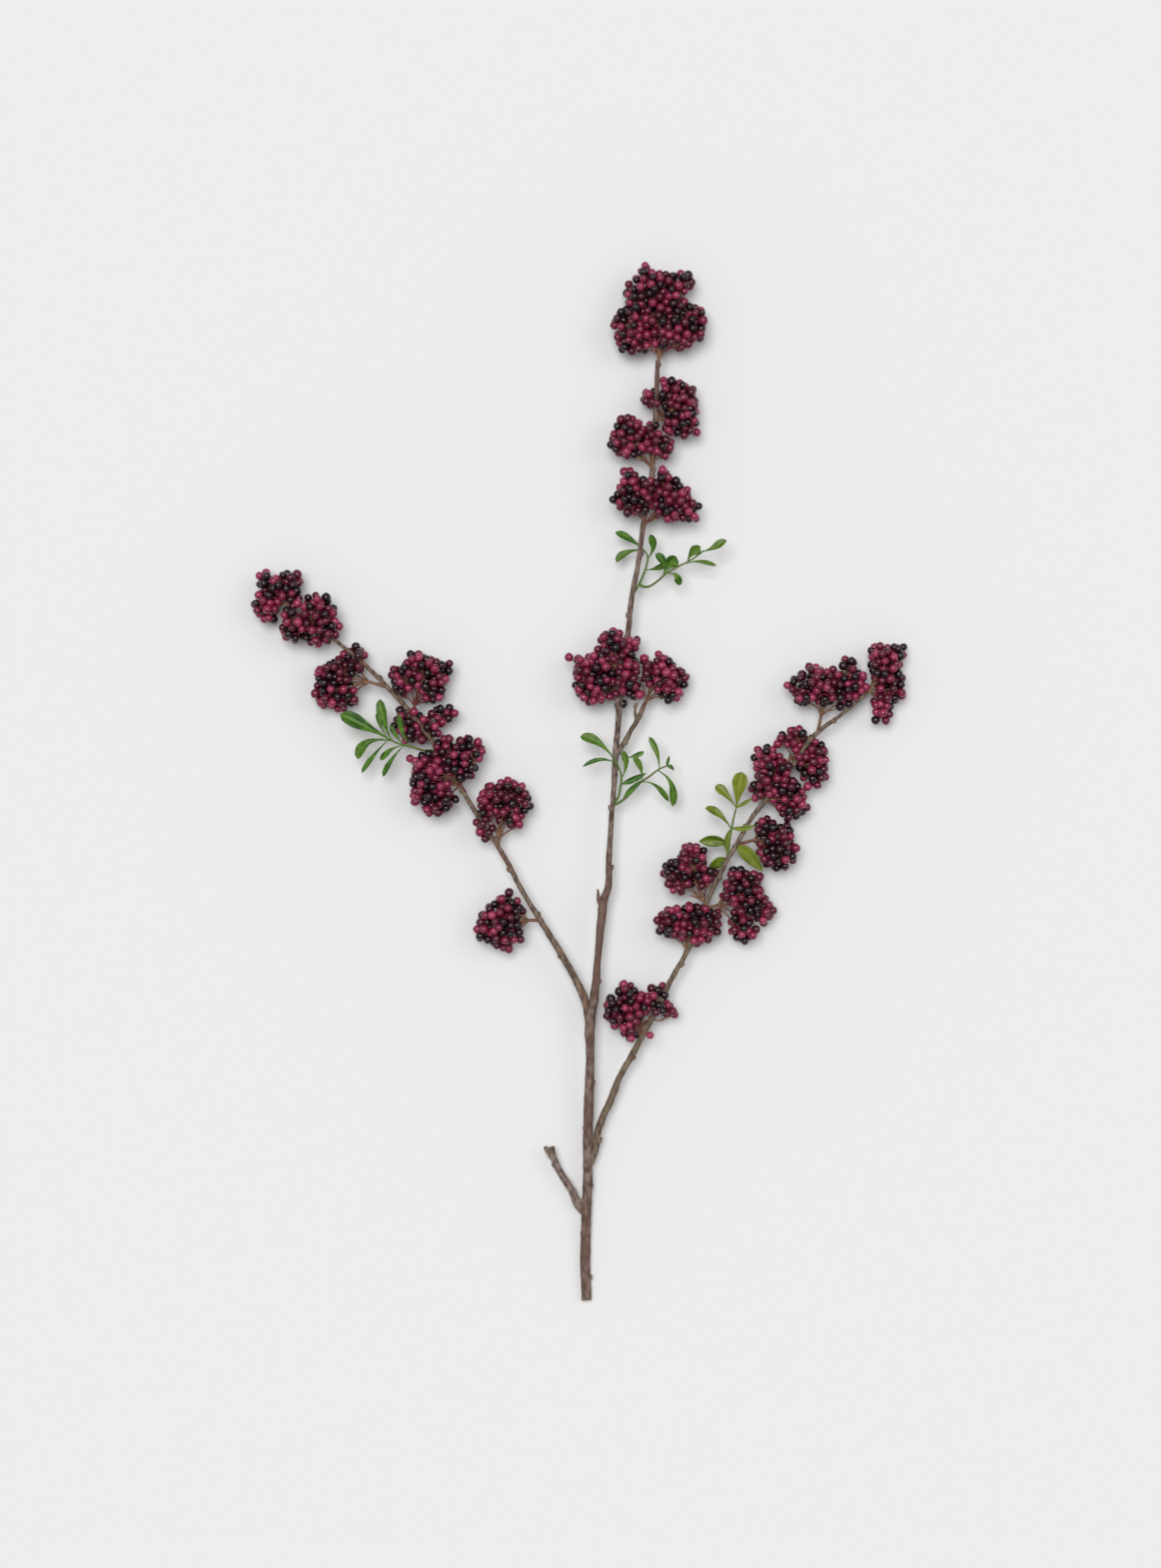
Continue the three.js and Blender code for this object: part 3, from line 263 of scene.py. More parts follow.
def mottle_group():
    """Colour that wanders between three tones, in streaks, and a height to go with it."""
    group = bpy.data.node_groups.new("mottle", "ShaderNodeTree")
    face = group.interface
    face.new_socket("Vector", in_out="INPUT", socket_type="NodeSocketVector")
    face.new_socket("Fine", in_out="INPUT", socket_type="NodeSocketFloat")
    face.new_socket("Broad", in_out="INPUT", socket_type="NodeSocketFloat")
    face.new_socket("Base", in_out="INPUT", socket_type="NodeSocketColor")
    face.new_socket("Streak", in_out="INPUT", socket_type="NodeSocketColor")
    face.new_socket("Patch", in_out="INPUT", socket_type="NodeSocketColor")
    face.new_socket("Color", in_out="OUTPUT", socket_type="NodeSocketColor")
    face.new_socket("Height", in_out="OUTPUT", socket_type="NodeSocketFloat")
    nodes = group.nodes
    links = group.links
    entry = nodes.new("NodeGroupInput")
    leave = nodes.new("NodeGroupOutput")
    fine = nodes.new("ShaderNodeTexNoise")
    fine.inputs["Detail"].default_value = 6
    broad = nodes.new("ShaderNodeTexNoise")
    broad.inputs["Detail"].default_value = 2
    links.new(entry.outputs["Vector"], fine.inputs["Vector"])
    links.new(entry.outputs["Vector"], broad.inputs["Vector"])
    links.new(entry.outputs["Fine"], fine.inputs["Scale"])
    links.new(entry.outputs["Broad"], broad.inputs["Scale"])
    sharp = nodes.new("ShaderNodeMapRange")
    sharp.inputs["From Min"].default_value = 0.4
    sharp.inputs["From Max"].default_value = 0.6
    links.new(fine.outputs["Fac"], sharp.inputs["Value"])
    wide = nodes.new("ShaderNodeMapRange")
    wide.inputs["From Min"].default_value = 0.5
    wide.inputs["From Max"].default_value = 0.68
    links.new(broad.outputs["Fac"], wide.inputs["Value"])
    streaked = nodes.new("ShaderNodeMix")
    streaked.data_type = "RGBA"
    links.new(sharp.outputs["Result"], streaked.inputs["Factor"])
    links.new(entry.outputs["Base"], streaked.inputs["A"])
    links.new(entry.outputs["Streak"], streaked.inputs["B"])
    patched = nodes.new("ShaderNodeMix")
    patched.data_type = "RGBA"
    links.new(wide.outputs["Result"], patched.inputs["Factor"])
    links.new(streaked.outputs["Result"], patched.inputs["A"])
    links.new(entry.outputs["Patch"], patched.inputs["B"])
    links.new(patched.outputs["Result"], leave.inputs["Color"])
    links.new(fine.outputs["Fac"], leave.inputs["Height"])
    return group


MOTTLE = mottle_group()


def mottled_material(name, base, streak, patch, roughness, fine, broad, stretch, turn, bump):
    material, tree, shader = plain_material(name, base, roughness)
    nodes = tree.nodes
    coords = nodes.new("ShaderNodeTexCoord")
    lengthwise = nodes.new("ShaderNodeMapping")
    lengthwise.inputs["Rotation"].default_value = (0, 0, turn)
    lengthwise.inputs["Scale"].default_value = (1, stretch, 1)
    pattern = nodes.new("ShaderNodeGroup")
    pattern.node_tree = MOTTLE
    pattern.inputs["Fine"].default_value = fine
    pattern.inputs["Broad"].default_value = broad
    pattern.inputs["Base"].default_value = (*base, 1)
    pattern.inputs["Streak"].default_value = (*streak, 1)
    pattern.inputs["Patch"].default_value = (*patch, 1)
    relief = nodes.new("ShaderNodeBump")
    relief.inputs["Strength"].default_value = bump
    relief.inputs["Distance"].default_value = 0.0008
    tree.links.new(coords.outputs["Object"], lengthwise.inputs["Vector"])
    tree.links.new(lengthwise.outputs["Vector"], pattern.inputs["Vector"])
    tree.links.new(pattern.outputs["Color"], shader.inputs["Base Color"])
    tree.links.new(pattern.outputs["Height"], relief.inputs["Height"])
    tree.links.new(relief.outputs["Normal"], shader.inputs["Normal"])
    return material


STEM_BARK = mottled_material("stem_bark", (0.068, 0.04, 0.031), (0.27, 0.195, 0.165),
                             (0.125, 0.066, 0.048), 0.8, 330, 22, 0.4, 0, 0.9)
LEFT_BARK = mottled_material("left_bark", (0.075, 0.042, 0.026), (0.215, 0.15, 0.105),
                             (0.19, 0.07, 0.05), 0.75, 420, 24, 0.35, -0.85, 0.7)
RIGHT_BARK = mottled_material("right_bark", (0.07, 0.043, 0.028), (0.215, 0.155, 0.11),
                              (0.135, 0.1, 0.055), 0.75, 420, 24, 0.35, 0.5, 0.7)
CUT_WOOD = mottled_material("cut_wood", (0.46, 0.34, 0.22), (0.56, 0.44, 0.3),
                            (0.3, 0.2, 0.12), 0.85, 900, 120, 1, 0, 0.3)

WOOD_PIECES = {
    "main_stem": ((MAIN_STEM, SNAG), STEM_BARK, "stem_wood"),
    "left_branch": ((LEFT_BRANCH,), LEFT_BARK, "branch_wood"),
    "right_branch": ((RIGHT_BRANCH,), RIGHT_BARK, "branch_wood"),
    "cut_side_shoot": ((CUT_SHOOT, CUT_SHOOT_PRONG), STEM_BARK, "branch_wood"),
    "upper_twig": ((UPPER_TWIG, DEAD_SPUR), RIGHT_BARK, "branch_wood"),
}
for number, (node, (routes, bark, slot)) in enumerate(WOOD_PIECES.items()):
    wood = wood_piece(node, routes, number)
    wood.data.materials.append(bark)
    wood.data.materials.append(CUT_WOOD)
    for face in wood.data.polygons:
        at_foot = node == "main_stem" and face.normal.y < -0.8 and face.center.y < CUT_END.y + 0.001
        at_stub = node == "cut_side_shoot" and face.normal.y > 0.8 and face.area > 1e-6
        if at_foot or at_stub:
            face.material_index = 1
    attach(wood, "root")
    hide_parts(node)


# The stalks of the clusters. From each foot on the wood a short stalk runs to its fork, where
# thin tan and reddish stalks spread into the cluster, and every berry hangs on a fine one of
# its own. The berries are round and smooth, 6 to 8 mm across, with a small dark point.
CLUSTER_FORKS = {
    "crown_cluster": ((57, 752), (58, 757)),
    "stem_cluster_1": ((56, 706), (59, 708)),
    "stem_cluster_2": ((54, 661), (52, 669)),
    "stem_cluster_3": ((44, 613), (47, 624)),
    "stem_cluster_4": ((26, 477), (22, 487)),
    "twig_cluster": ((46, 478), (48, 482)),
    "left_cluster_1": ((-235, 554), (-238, 560)),
    "left_cluster_2": ((-210, 538), (-223, 546)),
    "left_cluster_3": ((-160, 493), (-174, 497)),
    "left_cluster_4": ((-138, 470), (-138, 478)),
    "left_cluster_5": ((-127, 453), (-125, 458)),
    "left_cluster_6": ((-97, 408), (-101, 414)),
    "left_cluster_7": ((-71, 364), (-70, 372)),
    "left_cluster_8": ((-37, 306), (-46, 306)),
    "right_cluster_1": ((223, 487), (226, 490)),
    "right_cluster_2": ((185, 455), (188, 470)),
    "right_cluster_3": ((160, 424), (163, 436)),
    "right_cluster_4": ((139, 397), (142, 402)),
    "right_cluster_5": ((122, 367), (133, 370)),
    "right_cluster_6": ((96, 317), (94, 321)),
    "right_cluster_7": ((95, 315), (105, 318)),
    "right_cluster_8": ((78, 277), (80, 283)),
    "right_cluster_9": ((44, 212), (42, 217)),
}

# in metres; berries are packed layer by layer from the lump's skin inwards
BERRY_RADII = (0.0030, 0.0042)
BERRY_CLOSENESS = 0.8         # least distance between two berries, in sums of their radii
BERRY_LAYERS = 4
LAYER_DEPTH = 0.0046
AREA_PER_TRY = 0.8e-6         # one berry is tried on each such bit of skin, in square metres
BERRY_LEAN = 0.7              # how far a berry may turn from facing straight out
DARK_SHARE = 0.3
DARK_TONES = (0, 0.3)
RED_TONES = (0.38, 1)
PEDUNCLE_RADIUS = 0.0012
FORK_STALK_RADIUS = 0.0007
BERRY_STALK_RADIUS = 0.0003
FORK_STALKS = 9


def berry_model():
    """One berry of radius 1: a low ball drawn out to a point, with a dimple for its stalk."""
    bpy.ops.object.select_all(action="DESELECT")
    bpy.ops.mesh.primitive_uv_sphere_add(segments=8, ring_count=6, radius=1)
    ball = bpy.context.object
    bpy.ops.object.mode_set(mode="EDIT")
    bpy.ops.mesh.select_all(action="DESELECT")
    bpy.ops.object.mode_set(mode="OBJECT")
    top = max(ball.data.vertices, key=lambda vertex: vertex.co.z)
    top.select = True
    bpy.ops.object.mode_set(mode="EDIT")
    bpy.ops.transform.translate(value=(0, 0, 0.1))
    bpy.ops.mesh.select_all(action="DESELECT")
    bpy.ops.object.mode_set(mode="OBJECT")
    bottom = min(ball.data.vertices, key=lambda vertex: vertex.co.z)
    bottom.select = True
    bpy.ops.object.mode_set(mode="EDIT")
    bpy.ops.transform.translate(value=(0, 0, 0.14))
    bpy.ops.object.mode_set(mode="OBJECT")
    corners = np.array([vertex.co[:] for vertex in ball.data.vertices])
    faces = [tuple(face.vertices) for face in ball.data.polygons]
    bpy.data.objects.remove(ball)
    return corners, faces


def lump_tree(node):
    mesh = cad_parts[node].data
    mesh.calc_loop_triangles()
    corners = [vertex.co.copy() for vertex in mesh.vertices]
    triangles = [tuple(part.vertices) for part in mesh.loop_triangles]
    return corners, triangles, BVHTree.FromPolygons(corners, triangles)


def berries_near(taken, key):
    """The berries already in a cell of the grid and in the cells round it."""
    for step in itertools.product((-1, 0, 1), repeat=3):
        yield from taken.get(tuple(part + shift for part, shift in zip(key, step)), ())


def berry_places(node, seed):
    """Berries packed under the skin of a lump: (centre, outward, radius) for each."""
    chance = random.Random(seed)
    corners, triangles, skin = lump_tree(node)
    areas = []
    for a, b, c in triangles:
        areas.append((corners[b] - corners[a]).cross(corners[c] - corners[a]).length / 2)
    tries = int(sum(areas) / AREA_PER_TRY)
    picks = chance.choices(range(len(triangles)), weights=areas, k=tries)
    cell = 2 * BERRY_RADII[1]
    taken = {}
    places = []
    for attempt, pick in enumerate(picks):
        a, b, c = (corners[i] for i in triangles[pick])
        across = math.sqrt(chance.random())
        along = chance.random()
        spot = a * (1 - across) + b * (across * (1 - along)) + c * (across * along)
        outward = (b - a).cross(c - a).normalized()
        radius = chance.triangular(*BERRY_RADII)
        layer = int(BERRY_LAYERS * attempt / tries)
        depth = radius * (0.85 + 0.5 * chance.random()) + layer * LAYER_DEPTH
        centre = spot - outward * depth
        hit, facing, _, away = skin.find_nearest(centre)
        if hit is None or away < radius * 0.5 or (centre - hit).dot(facing) > 0:
            continue
        if centre.z < radius:
            continue
        key = tuple(int(math.floor(value / cell)) for value in centre)
        near = berries_near(taken, key)
        if any((other - centre).length < (reach + radius) * BERRY_CLOSENESS for other, _, reach in near):
            continue
        place = (centre, outward, radius)
        taken.setdefault(key, []).append(place)
        places.append(place)
    return places


def berry_mesh(name, places, seed):
    """All berries of a cluster in one mesh, each turned its own way, with its own tone."""
    chance = random.Random(seed)
    corners, faces = BERRY
    points = []
    polygons = []
    tones = []
    tips = []
    for number, (centre, outward, radius) in enumerate(places):
        lean = outward + Vector([chance.uniform(-BERRY_LEAN, BERRY_LEAN) for _ in range(3)])
        spin = Matrix.Rotation(chance.random() * 6, 3, "Z")
        turn = np.array(lean.to_track_quat("Z", "Y").to_matrix() @ spin)
        points.append(corners @ turn.T * radius + np.array(centre))
        first = number * len(corners)
        polygons.extend([tuple(first + i for i in face) for face in faces])
        tones_of_berry = DARK_TONES if chance.random() < DARK_SHARE else RED_TONES
        tone = chance.uniform(*tones_of_berry)
        tones.extend([tone] * len(corners))
        tips.extend(np.clip((corners[:, 2] - 0.86) / 0.24, 0, 1).tolist())
    mesh = bpy.data.meshes.new(name)
    mesh.from_pydata(np.concatenate(points).tolist(), [], polygons)
    mesh.polygons.foreach_set("use_smooth", [True] * len(mesh.polygons))
    mesh.attributes.new("tone", "FLOAT", "POINT").data.foreach_set("value", tones)
    mesh.attributes.new("tip", "FLOAT", "POINT").data.foreach_set("value", tips)
    piece = bpy.data.objects.new(name, mesh)
    bpy.context.collection.objects.link(piece)
    return piece


def berry_skin():
    """Thin glossy skin: each berry has its own tone, from nearly black to burgundy."""
    material, tree, shader = plain_material("berry_skin", (0.08, 0.01, 0.02), 0.26)
    shader.inputs["Specular IOR Level"].default_value = 0.55
    shader.inputs["Specular Tint"].default_value = (1, 0.78, 0.84, 1)
    shader.inputs["Coat Weight"].default_value = 0.2
    shader.inputs["Coat Roughness"].default_value = 0.16
    nodes = tree.nodes
    own_tone = nodes.new("ShaderNodeAttribute")
    own_tone.attribute_name = "tone"
    colors = nodes.new("ShaderNodeValToRGB")
    stops = ((0, (0.003, 0.001, 0.0015)), (0.3, (0.014, 0.002, 0.005)), (0.55, (0.11, 0.006, 0.024)),
             (0.8, (0.22, 0.014, 0.05)), (1, (0.33, 0.035, 0.095)))
    ramp = colors.color_ramp
    ramp.elements[0].color = (*stops[0][1], 1)
    ramp.elements[1].color = (*stops[-1][1], 1)
    for where, color in stops[1:-1]:
        ramp.elements.new(where).color = (*color, 1)
    coords = nodes.new("ShaderNodeTexCoord")
    blush = nodes.new("ShaderNodeTexNoise")
    blush.inputs["Scale"].default_value = 240
    uneven = nodes.new("ShaderNodeMath")
    uneven.operation = "MULTIPLY_ADD"
    uneven.inputs[1].default_value = 0.3
    shift = nodes.new("ShaderNodeMath")
    shift.operation = "SUBTRACT"
    shift.inputs[1].default_value = 0.15
    tip = nodes.new("ShaderNodeAttribute")
    tip.attribute_name = "tip"
    point = nodes.new("ShaderNodeMix")
    point.data_type = "RGBA"
    point.inputs["B"].default_value = (0.006, 0.003, 0.003, 1)
    tree.links.new(coords.outputs["Object"], blush.inputs["Vector"])
    tree.links.new(own_tone.outputs["Fac"], shift.inputs[0])
    tree.links.new(blush.outputs["Fac"], uneven.inputs[0])
    tree.links.new(shift.outputs["Value"], uneven.inputs[2])
    tree.links.new(uneven.outputs["Value"], colors.inputs["Fac"])
    tree.links.new(tip.outputs["Fac"], point.inputs["Factor"])
    tree.links.new(colors.outputs["Color"], point.inputs["A"])
    tree.links.new(point.outputs["Result"], shader.inputs["Base Color"])
    return material


def cluster_stalks(name, foot, fork, places, seed):
    """A cluster's stalks: one to the fork, some from there, and a fine one for each berry."""
    chance = random.Random(seed)
    middle = sum((place[0] for place in places), Vector()) / len(places)
    start = on_sprig(*foot)
    centre = on_sprig(*fork)
    centre.z = (start.z + middle.z) / 2
    lines = [[(start, PEDUNCLE_RADIUS * 1.25), (centre, PEDUNCLE_RADIUS)]]
    hubs = [chance.choice(places)[0]]
    while len(hubs) < FORK_STALKS:
        far = max(places, key=lambda place: min((place[0] - hub).length for hub in hubs))
        hubs.append(far[0])
    inner = [centre.lerp(hub, 0.62) for hub in hubs]
    for hub in inner:
        half = centre.lerp(hub, 0.5)
        half += (middle - centre).normalized() * (hub - centre).length * 0.16
        half += Vector([chance.uniform(-1, 1) for _ in range(3)]) * (hub - centre).length * 0.08
        lines.append([(centre, FORK_STALK_RADIUS * 1.2), (half, FORK_STALK_RADIUS),
                      (hub, FORK_STALK_RADIUS * 0.85)])
    stalks = limbs(name, lines, rings=4, roundness=1)
    stalks.data.materials.append(STALK_SKIN)
    fine = []
    for spot, _, radius in places:
        hub = min(inner, key=lambda point: (point - spot).length)
        fine.append([(hub, BERRY_STALK_RADIUS), (hub.lerp(spot, 0.93), BERRY_STALK_RADIUS)])
    fine_stalks = limbs(name + "_fine", fine, rings=1, roundness=0)
    fine_stalks.data.materials.append(STALK_SKIN)
    return join_into(stalks, [fine_stalks])


BERRY = berry_model()
BERRY_SKIN = berry_skin()
STALK_SKIN = mottled_material("stalk_skin", (0.13, 0.06, 0.035), (0.26, 0.14, 0.075),
                              (0.13, 0.025, 0.022), 0.75, 380, 60, 1, 0, 0.3)

for number, (cluster, (foot, fork)) in enumerate(CLUSTER_FORKS.items()):
    places = berry_places(cluster + "_berries", 100 + number)
    berries = berry_mesh(cluster + "_fruit", places, 200 + number)
    berries.data.materials.append(BERRY_SKIN)
    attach(berries, "root")
    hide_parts(cluster + "_berries")
    stalks = cluster_stalks(cluster + "_stalk_fan", foot, fork, places, 300 + number)
    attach(stalks, "root")
    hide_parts(cluster + "_stalks")


# The leafy shoots. Soft green leaves, broadest near their rounded tips, sit on slim brown-green
# shoots that grow out of the wood. Each blade is bent along its own curve, folded along its
# midrib, slightly wavy, and much thinner than its solid in the frame.
LEAFY_SHOOTS = {
    "top_leaf_shoot": {
        "stalks": (
            ((36, 566, 0), (42, 575, -1), (46, 584, -3), (48, 590, -4), (49, 598, -5), (46, 603, -6)),
            ((42, 575, -1), (48, 573, 1), (56, 577, 3), (64, 584, 4), (75, 590, 5), (83, 594, 6),
             (94, 602, 7)),
        ),
        "leaves": (
            ((46, 603, -6), (37, 612, -6), (23, 617, -2), 6.4, "spoon"),
            ((46, 603, -6), (31, 604, -6), (24, 593, -3), 6.6, "spoon"),
            ((49, 596, -5), (57, 605, -2), (51, 615, 4), 6.2, "spoon"),
            ((48, 587, -4), (56, 587, -1), (64, 592, 2), 5.2, "spoon"),
            ((62, 583, 4), (65, 593, 8), (55, 599, 9), 7, "spoon"),
            ((62, 583, 4), (64, 591, 5), (72, 597, 6), 12, "spoon"),
            ((65, 584, 4), (75, 584, 6), (74, 574, 3), 6.6, "spoon"),
            ((81, 593, 6), (83, 602, 9), (91, 605, 11), 9, "spoon"),
            ((93, 601, 7), (101, 603, 9), (112, 610, 10), 6.8, "spoon"),
            ((80, 591, 5), (88, 596, 6), (104, 590, 3), 3.6, "spoon"),
        ),
    },
    "middle_leaf_shoot": {
        "stalks": (
            ((21, 399, 0), (25, 404, 2), (27, 412, 3), (28, 420, 4), (26, 428, 5), (22, 436, 6)),
            ((22, 398, 0), (30, 403, 2), (38, 411, 3), (44, 417, 4), (50, 421, 5), (58, 427, 6),
             (65, 430, 7)),
        ),
        "leaves": (
            ((22, 435, 6), (11, 452, 9), (-5, 453, 6), 8.4, "spoon"),
            ((25, 430, 5), (15, 440, 7), (-3, 429, 4), 3.8, "spoon"),
            ((28, 420, 4), (35, 431, 6), (29, 442, 8), 5.6, "spoon"),
            ((32, 436, 7), (38, 437, 8), (46, 441, 8), 4.2, "spoon"),
            ((44, 417, 4), (46, 429, 8), (37, 437, 9), 5.2, "spoon"),
            ((29, 402, 2), (35, 411, 4), (44, 418, 5), 4.6, "lens"),
            ((28, 415, 3), (37, 418, 5), (48, 424, 6), 5, "lens"),
            ((58, 426, 6), (59, 440, 10), (50, 453, 8), 5.2, "spoon"),
            ((64, 430, 7), (65, 433, 8), (66, 438, 9), 2.4, "lens"),
            ((64, 430, 7), (67, 430, 7), (70, 426, 6), 3.2, "lens"),
            ((45, 417, 4), (58, 417, 6), (66, 401, 1), 4.8, "spoon"),
            ((57, 426, 6), (73, 418, 8), (69, 397, 0), 6.2, "spoon"),
        ),
    },
    "left_leaf_shoot": {
        "stalks": (
            ((-119, 442, 0), (-130, 442, 3), (-140, 445, 5), (-149, 447, 6), (-160, 452, 7)),
        ),
        "leaves": (
            ((-159, 452, 7), (-175, 461, 10), (-197, 471, 8), 12, "spoon"),
            ((-156, 450, 7), (-163, 464, 12), (-165, 483, 12), 8.2, "spoon"),
            ((-159, 452, 7), (-166, 462, 7), (-168, 472, 5), 3.6, "spoon"),
            ((-157, 450, 7), (-180, 454, 9), (-183, 435, 4), 8.4, "spoon"),
            ((-158, 451, 7), (-171, 439, 5), (-180, 424, 0), 4.4, "spoon"),
            ((-147, 446, 6), (-159, 444, 5), (-165, 434, 2), 5, "spoon"),
            ((-146, 446, 5), (-157, 436, 4), (-163, 421, -2), 4.6, "spoon"),
            ((-141, 445, 5), (-148, 455, 9), (-150, 471, 12), 5, "spoon"),
            ((-147, 447, 6), (-153, 454, 7), (-157, 462, 8), 4.6, "spoon"),
        ),
    },
    "right_leaf_shoot": {
        "stalks": (
            ((113, 357, 0), (114, 367, 2), (116, 379, 4), (118, 389, 5), (120, 397, 6)),
        ),
        "leaves": (
            ((120, 396, 6), (112, 408, 8), (103, 414, 6), 8, "spoon"),
            ((120, 396, 6), (121, 410, 9), (124, 425, 10), 12.5, "spoon"),
            ((120, 396, 6), (126, 400, 6), (133, 404, 5), 3.2, "lens"),
            ((116, 379, 4), (108, 393, 6), (95, 396, 5), 7.2, "spoon"),
            ((113, 367, 2), (101, 372, 2), (90, 369, 0), 9.4, "lens"),
            ((116, 380, 4), (126, 378, 5), (135, 382, 5), 4.4, "lens"),
            ((113, 360, 1), (110, 370, 4), (116, 380, 4), 5, "lens"),
        ),
    },
    "right_branch_leaf_low": {
        "stalks": (
        ),
        "leaves": (
            ((113, 355, -1), (105, 354, -3), (97, 346, -5), 8.6, "lens"),
        ),
    },
    "right_branch_leaf_high": {
        "stalks": (
        ),
        "leaves": (
            ((119, 366, 0), (130, 361, -2), (141, 345, -3), 11, "lens"),
        ),
    },
}

# in metres, but for the fold, which is how far an edge rises in half-widths, and the twist
# from foot to tip, which is in radians
BLADE_THICKNESS = 0.00035
BLADE_FOLD = 0.42
BLADE_RIPPLE = 0.1
BLADE_TWIST = 0.75
SHOOT_STALK_RADIUS = 0.0009


def blade_width(along, form):
    """Half-width of a leaf at a place from its foot (0) to its tip (1), its widest being 1."""
    if form == "lens":
        return max(math.sin(math.pi * along) ** 0.8, 0.1 * (1 - along))
    widest = 0.7
    if along < widest:
        part = along / widest
        return 0.12 + 0.88 * part ** 2.4 * (2.2 - 1.2 * part)
    part = (along - widest) / (1 - widest)
    return math.sqrt(max(1 - part ** 2.3, 0))


def blade(foot, by, tip, width, form, chance):
    """One leaf blade, from its foot by a middle point to its tip."""
    start, middle, end = on_sprig(*foot), on_sprig(*by), on_sprig(*tip)
    bpy.ops.object.select_all(action="DESELECT")
    bpy.ops.mesh.primitive_grid_add(x_subdivisions=14, y_subdivisions=6, size=1)
    piece = bpy.context.object
    fold = BLADE_FOLD * chance.uniform(0.5, 1.3)
    wave = chance.uniform(0, 6)
    twist = chance.uniform(-BLADE_TWIST, BLADE_TWIST)
    across_tones = []
    for vertex in piece.data.vertices:
        along = vertex.co.x + 0.5
        across = vertex.co.y * 2
        spot = start * (1 - along) ** 2 + middle * (2 * along * (1 - along)) + end * along ** 2
        ahead = (middle - start) * (1 - along) + (end - middle) * along
        side = Vector((0, 0, 1)).cross(ahead).normalized()
        up = ahead.cross(side).normalized()
        half = width / 2000 * blade_width(along, form)
        turn = twist * along
        side, up = (side * math.cos(turn) + up * math.sin(turn),
                    up * math.cos(turn) - side * math.sin(turn))
        ripple = BLADE_RIPPLE * math.sin(along * 9 + wave + across) * abs(across)
        vertex.co = spot + side * (across * half) + up * (half * (fold * abs(across) + ripple))
        across_tones.append(abs(across))
    leaf_tone = chance.random()
    mesh = piece.data
    mesh.attributes.new("across", "FLOAT", "POINT").data.foreach_set("value", across_tones)
    mesh.attributes.new("tone", "FLOAT", "POINT").data.foreach_set("value", [leaf_tone] * len(mesh.vertices))
    thicken = piece.modifiers.new("thickness", "SOLIDIFY")
    thicken.thickness = BLADE_THICKNESS
    thicken.offset = 0
    bpy.ops.object.modifier_apply(modifier=thicken.name)
    mesh.polygons.foreach_set("use_smooth", [True] * len(mesh.polygons))
    return piece


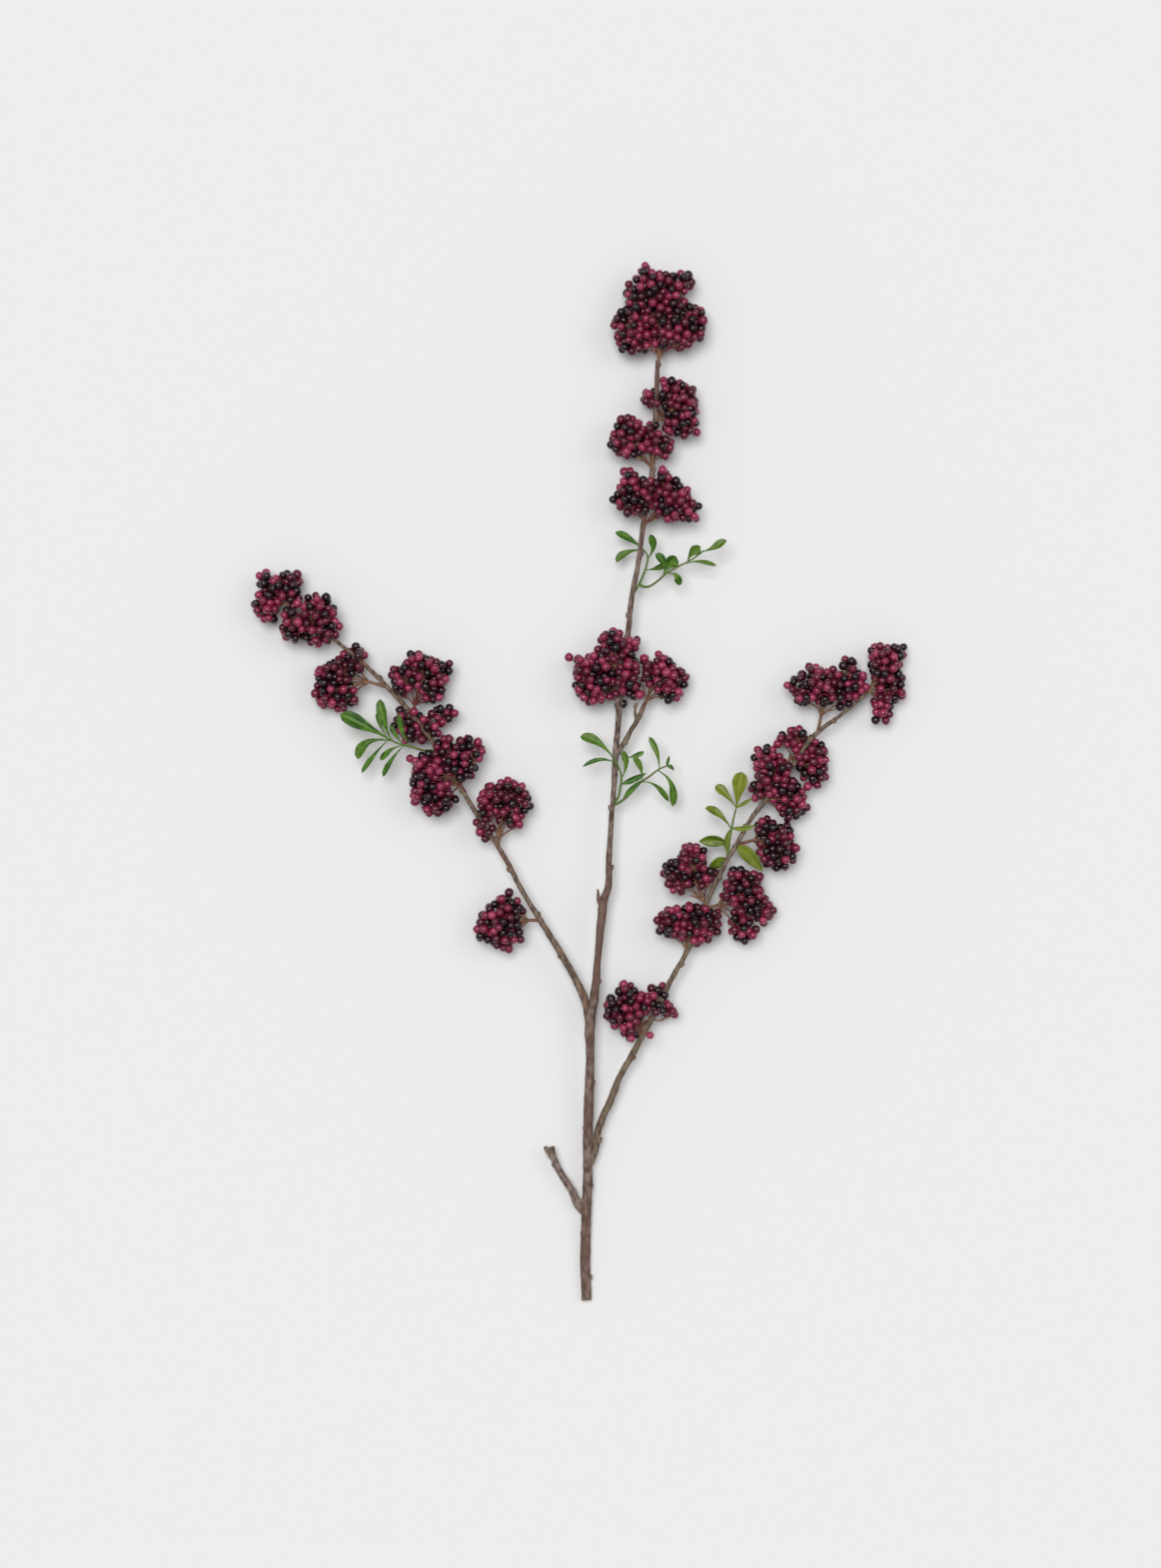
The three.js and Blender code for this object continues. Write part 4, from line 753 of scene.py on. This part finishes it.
def leaf_skin(name, deep, light, old):
    """Satin green, lighter along the midrib, with its own tone."""
    material, tree, shader = plain_material(name, deep, 0.42)
    shader.inputs["Specular IOR Level"].default_value = 0.36
    nodes = tree.nodes
    facts = {}
    for fact in ("across", "tone"):
        facts[fact] = nodes.new("ShaderNodeAttribute")
        facts[fact].attribute_name = fact
    coords = nodes.new("ShaderNodeTexCoord")
    pattern = nodes.new("ShaderNodeGroup")
    pattern.node_tree = MOTTLE
    pattern.inputs["Fine"].default_value = 260
    pattern.inputs["Broad"].default_value = 70
    pattern.inputs["Base"].default_value = (*deep, 1)
    pattern.inputs["Streak"].default_value = (*light, 1)
    pattern.inputs["Patch"].default_value = (*deep, 1)
    midrib = nodes.new("ShaderNodeMapRange")
    midrib.inputs["From Min"].default_value = 0.3
    midrib.inputs["From Max"].default_value = 0.0
    pale = nodes.new("ShaderNodeMix")
    pale.data_type = "RGBA"
    pale.inputs["B"].default_value = (*light, 1)
    own = nodes.new("ShaderNodeMapRange")
    own.inputs["From Min"].default_value = 0.55
    own.inputs["From Max"].default_value = 1.4
    aged = nodes.new("ShaderNodeMix")
    aged.data_type = "RGBA"
    aged.inputs["B"].default_value = (*old, 1)
    relief = nodes.new("ShaderNodeBump")
    relief.inputs["Strength"].default_value = 0.35
    relief.inputs["Distance"].default_value = 0.0006
    tree.links.new(coords.outputs["Object"], pattern.inputs["Vector"])
    tree.links.new(facts["across"].outputs["Fac"], midrib.inputs["Value"])
    tree.links.new(midrib.outputs["Result"], pale.inputs["Factor"])
    tree.links.new(pattern.outputs["Color"], pale.inputs["A"])
    tree.links.new(facts["tone"].outputs["Fac"], own.inputs["Value"])
    tree.links.new(own.outputs["Result"], aged.inputs["Factor"])
    tree.links.new(pale.outputs["Result"], aged.inputs["A"])
    tree.links.new(aged.outputs["Result"], shader.inputs["Base Color"])
    tree.links.new(pattern.outputs["Height"], relief.inputs["Height"])
    tree.links.new(relief.outputs["Normal"], shader.inputs["Normal"])
    return material


GREEN_LEAF = leaf_skin("green_leaf", (0.02, 0.075, 0.003), (0.085, 0.2, 0.012), (0.12, 0.19, 0.014))
YOUNG_LEAF = leaf_skin("young_leaf", (0.055, 0.11, 0.003), (0.15, 0.21, 0.01), (0.23, 0.24, 0.016))
SHOOT_BARK = mottled_material("shoot_bark", (0.06, 0.14, 0.02), (0.12, 0.19, 0.035),
                              (0.14, 0.12, 0.035), 0.7, 420, 90, 1, 0, 0.3)
YOUNG_SHOOTS = ("right_leaf_shoot", "right_branch_leaf_low", "right_branch_leaf_high")

for number, (node, shoot) in enumerate(LEAFY_SHOOTS.items()):
    chance = random.Random(400 + number)
    blades = [blade(*leaf, chance) for leaf in shoot["leaves"]]
    for leaf in blades:
        leaf.data.materials.append(YOUNG_LEAF if node in YOUNG_SHOOTS else GREEN_LEAF)
    parts = list(blades)
    if shoot["stalks"]:
        lines = []
        for stalk in shoot["stalks"]:
            thins = np.linspace(1.25, 0.7, len(stalk))
            lines.append([(on_sprig(*spot), SHOOT_STALK_RADIUS * thin)
                          for spot, thin in zip(stalk, thins)])
        slim = limbs(node + "_slim", lines, rings=4, roundness=3)
        slim.data.materials.append(SHOOT_BARK)
        parts.append(slim)
    piece = join_into(parts[0], parts[1:])
    piece.name = node + "_leaves"
    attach(piece, "root")
    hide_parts(node)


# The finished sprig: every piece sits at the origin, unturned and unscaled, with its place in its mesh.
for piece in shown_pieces():
    if piece.matrix_world == Matrix.Identity(4):
        continue
    bpy.ops.object.select_all(action="DESELECT")
    piece.select_set(True)
    bpy.context.view_layer.objects.active = piece
    bpy.ops.object.transform_apply(location=True, rotation=True, scale=True)
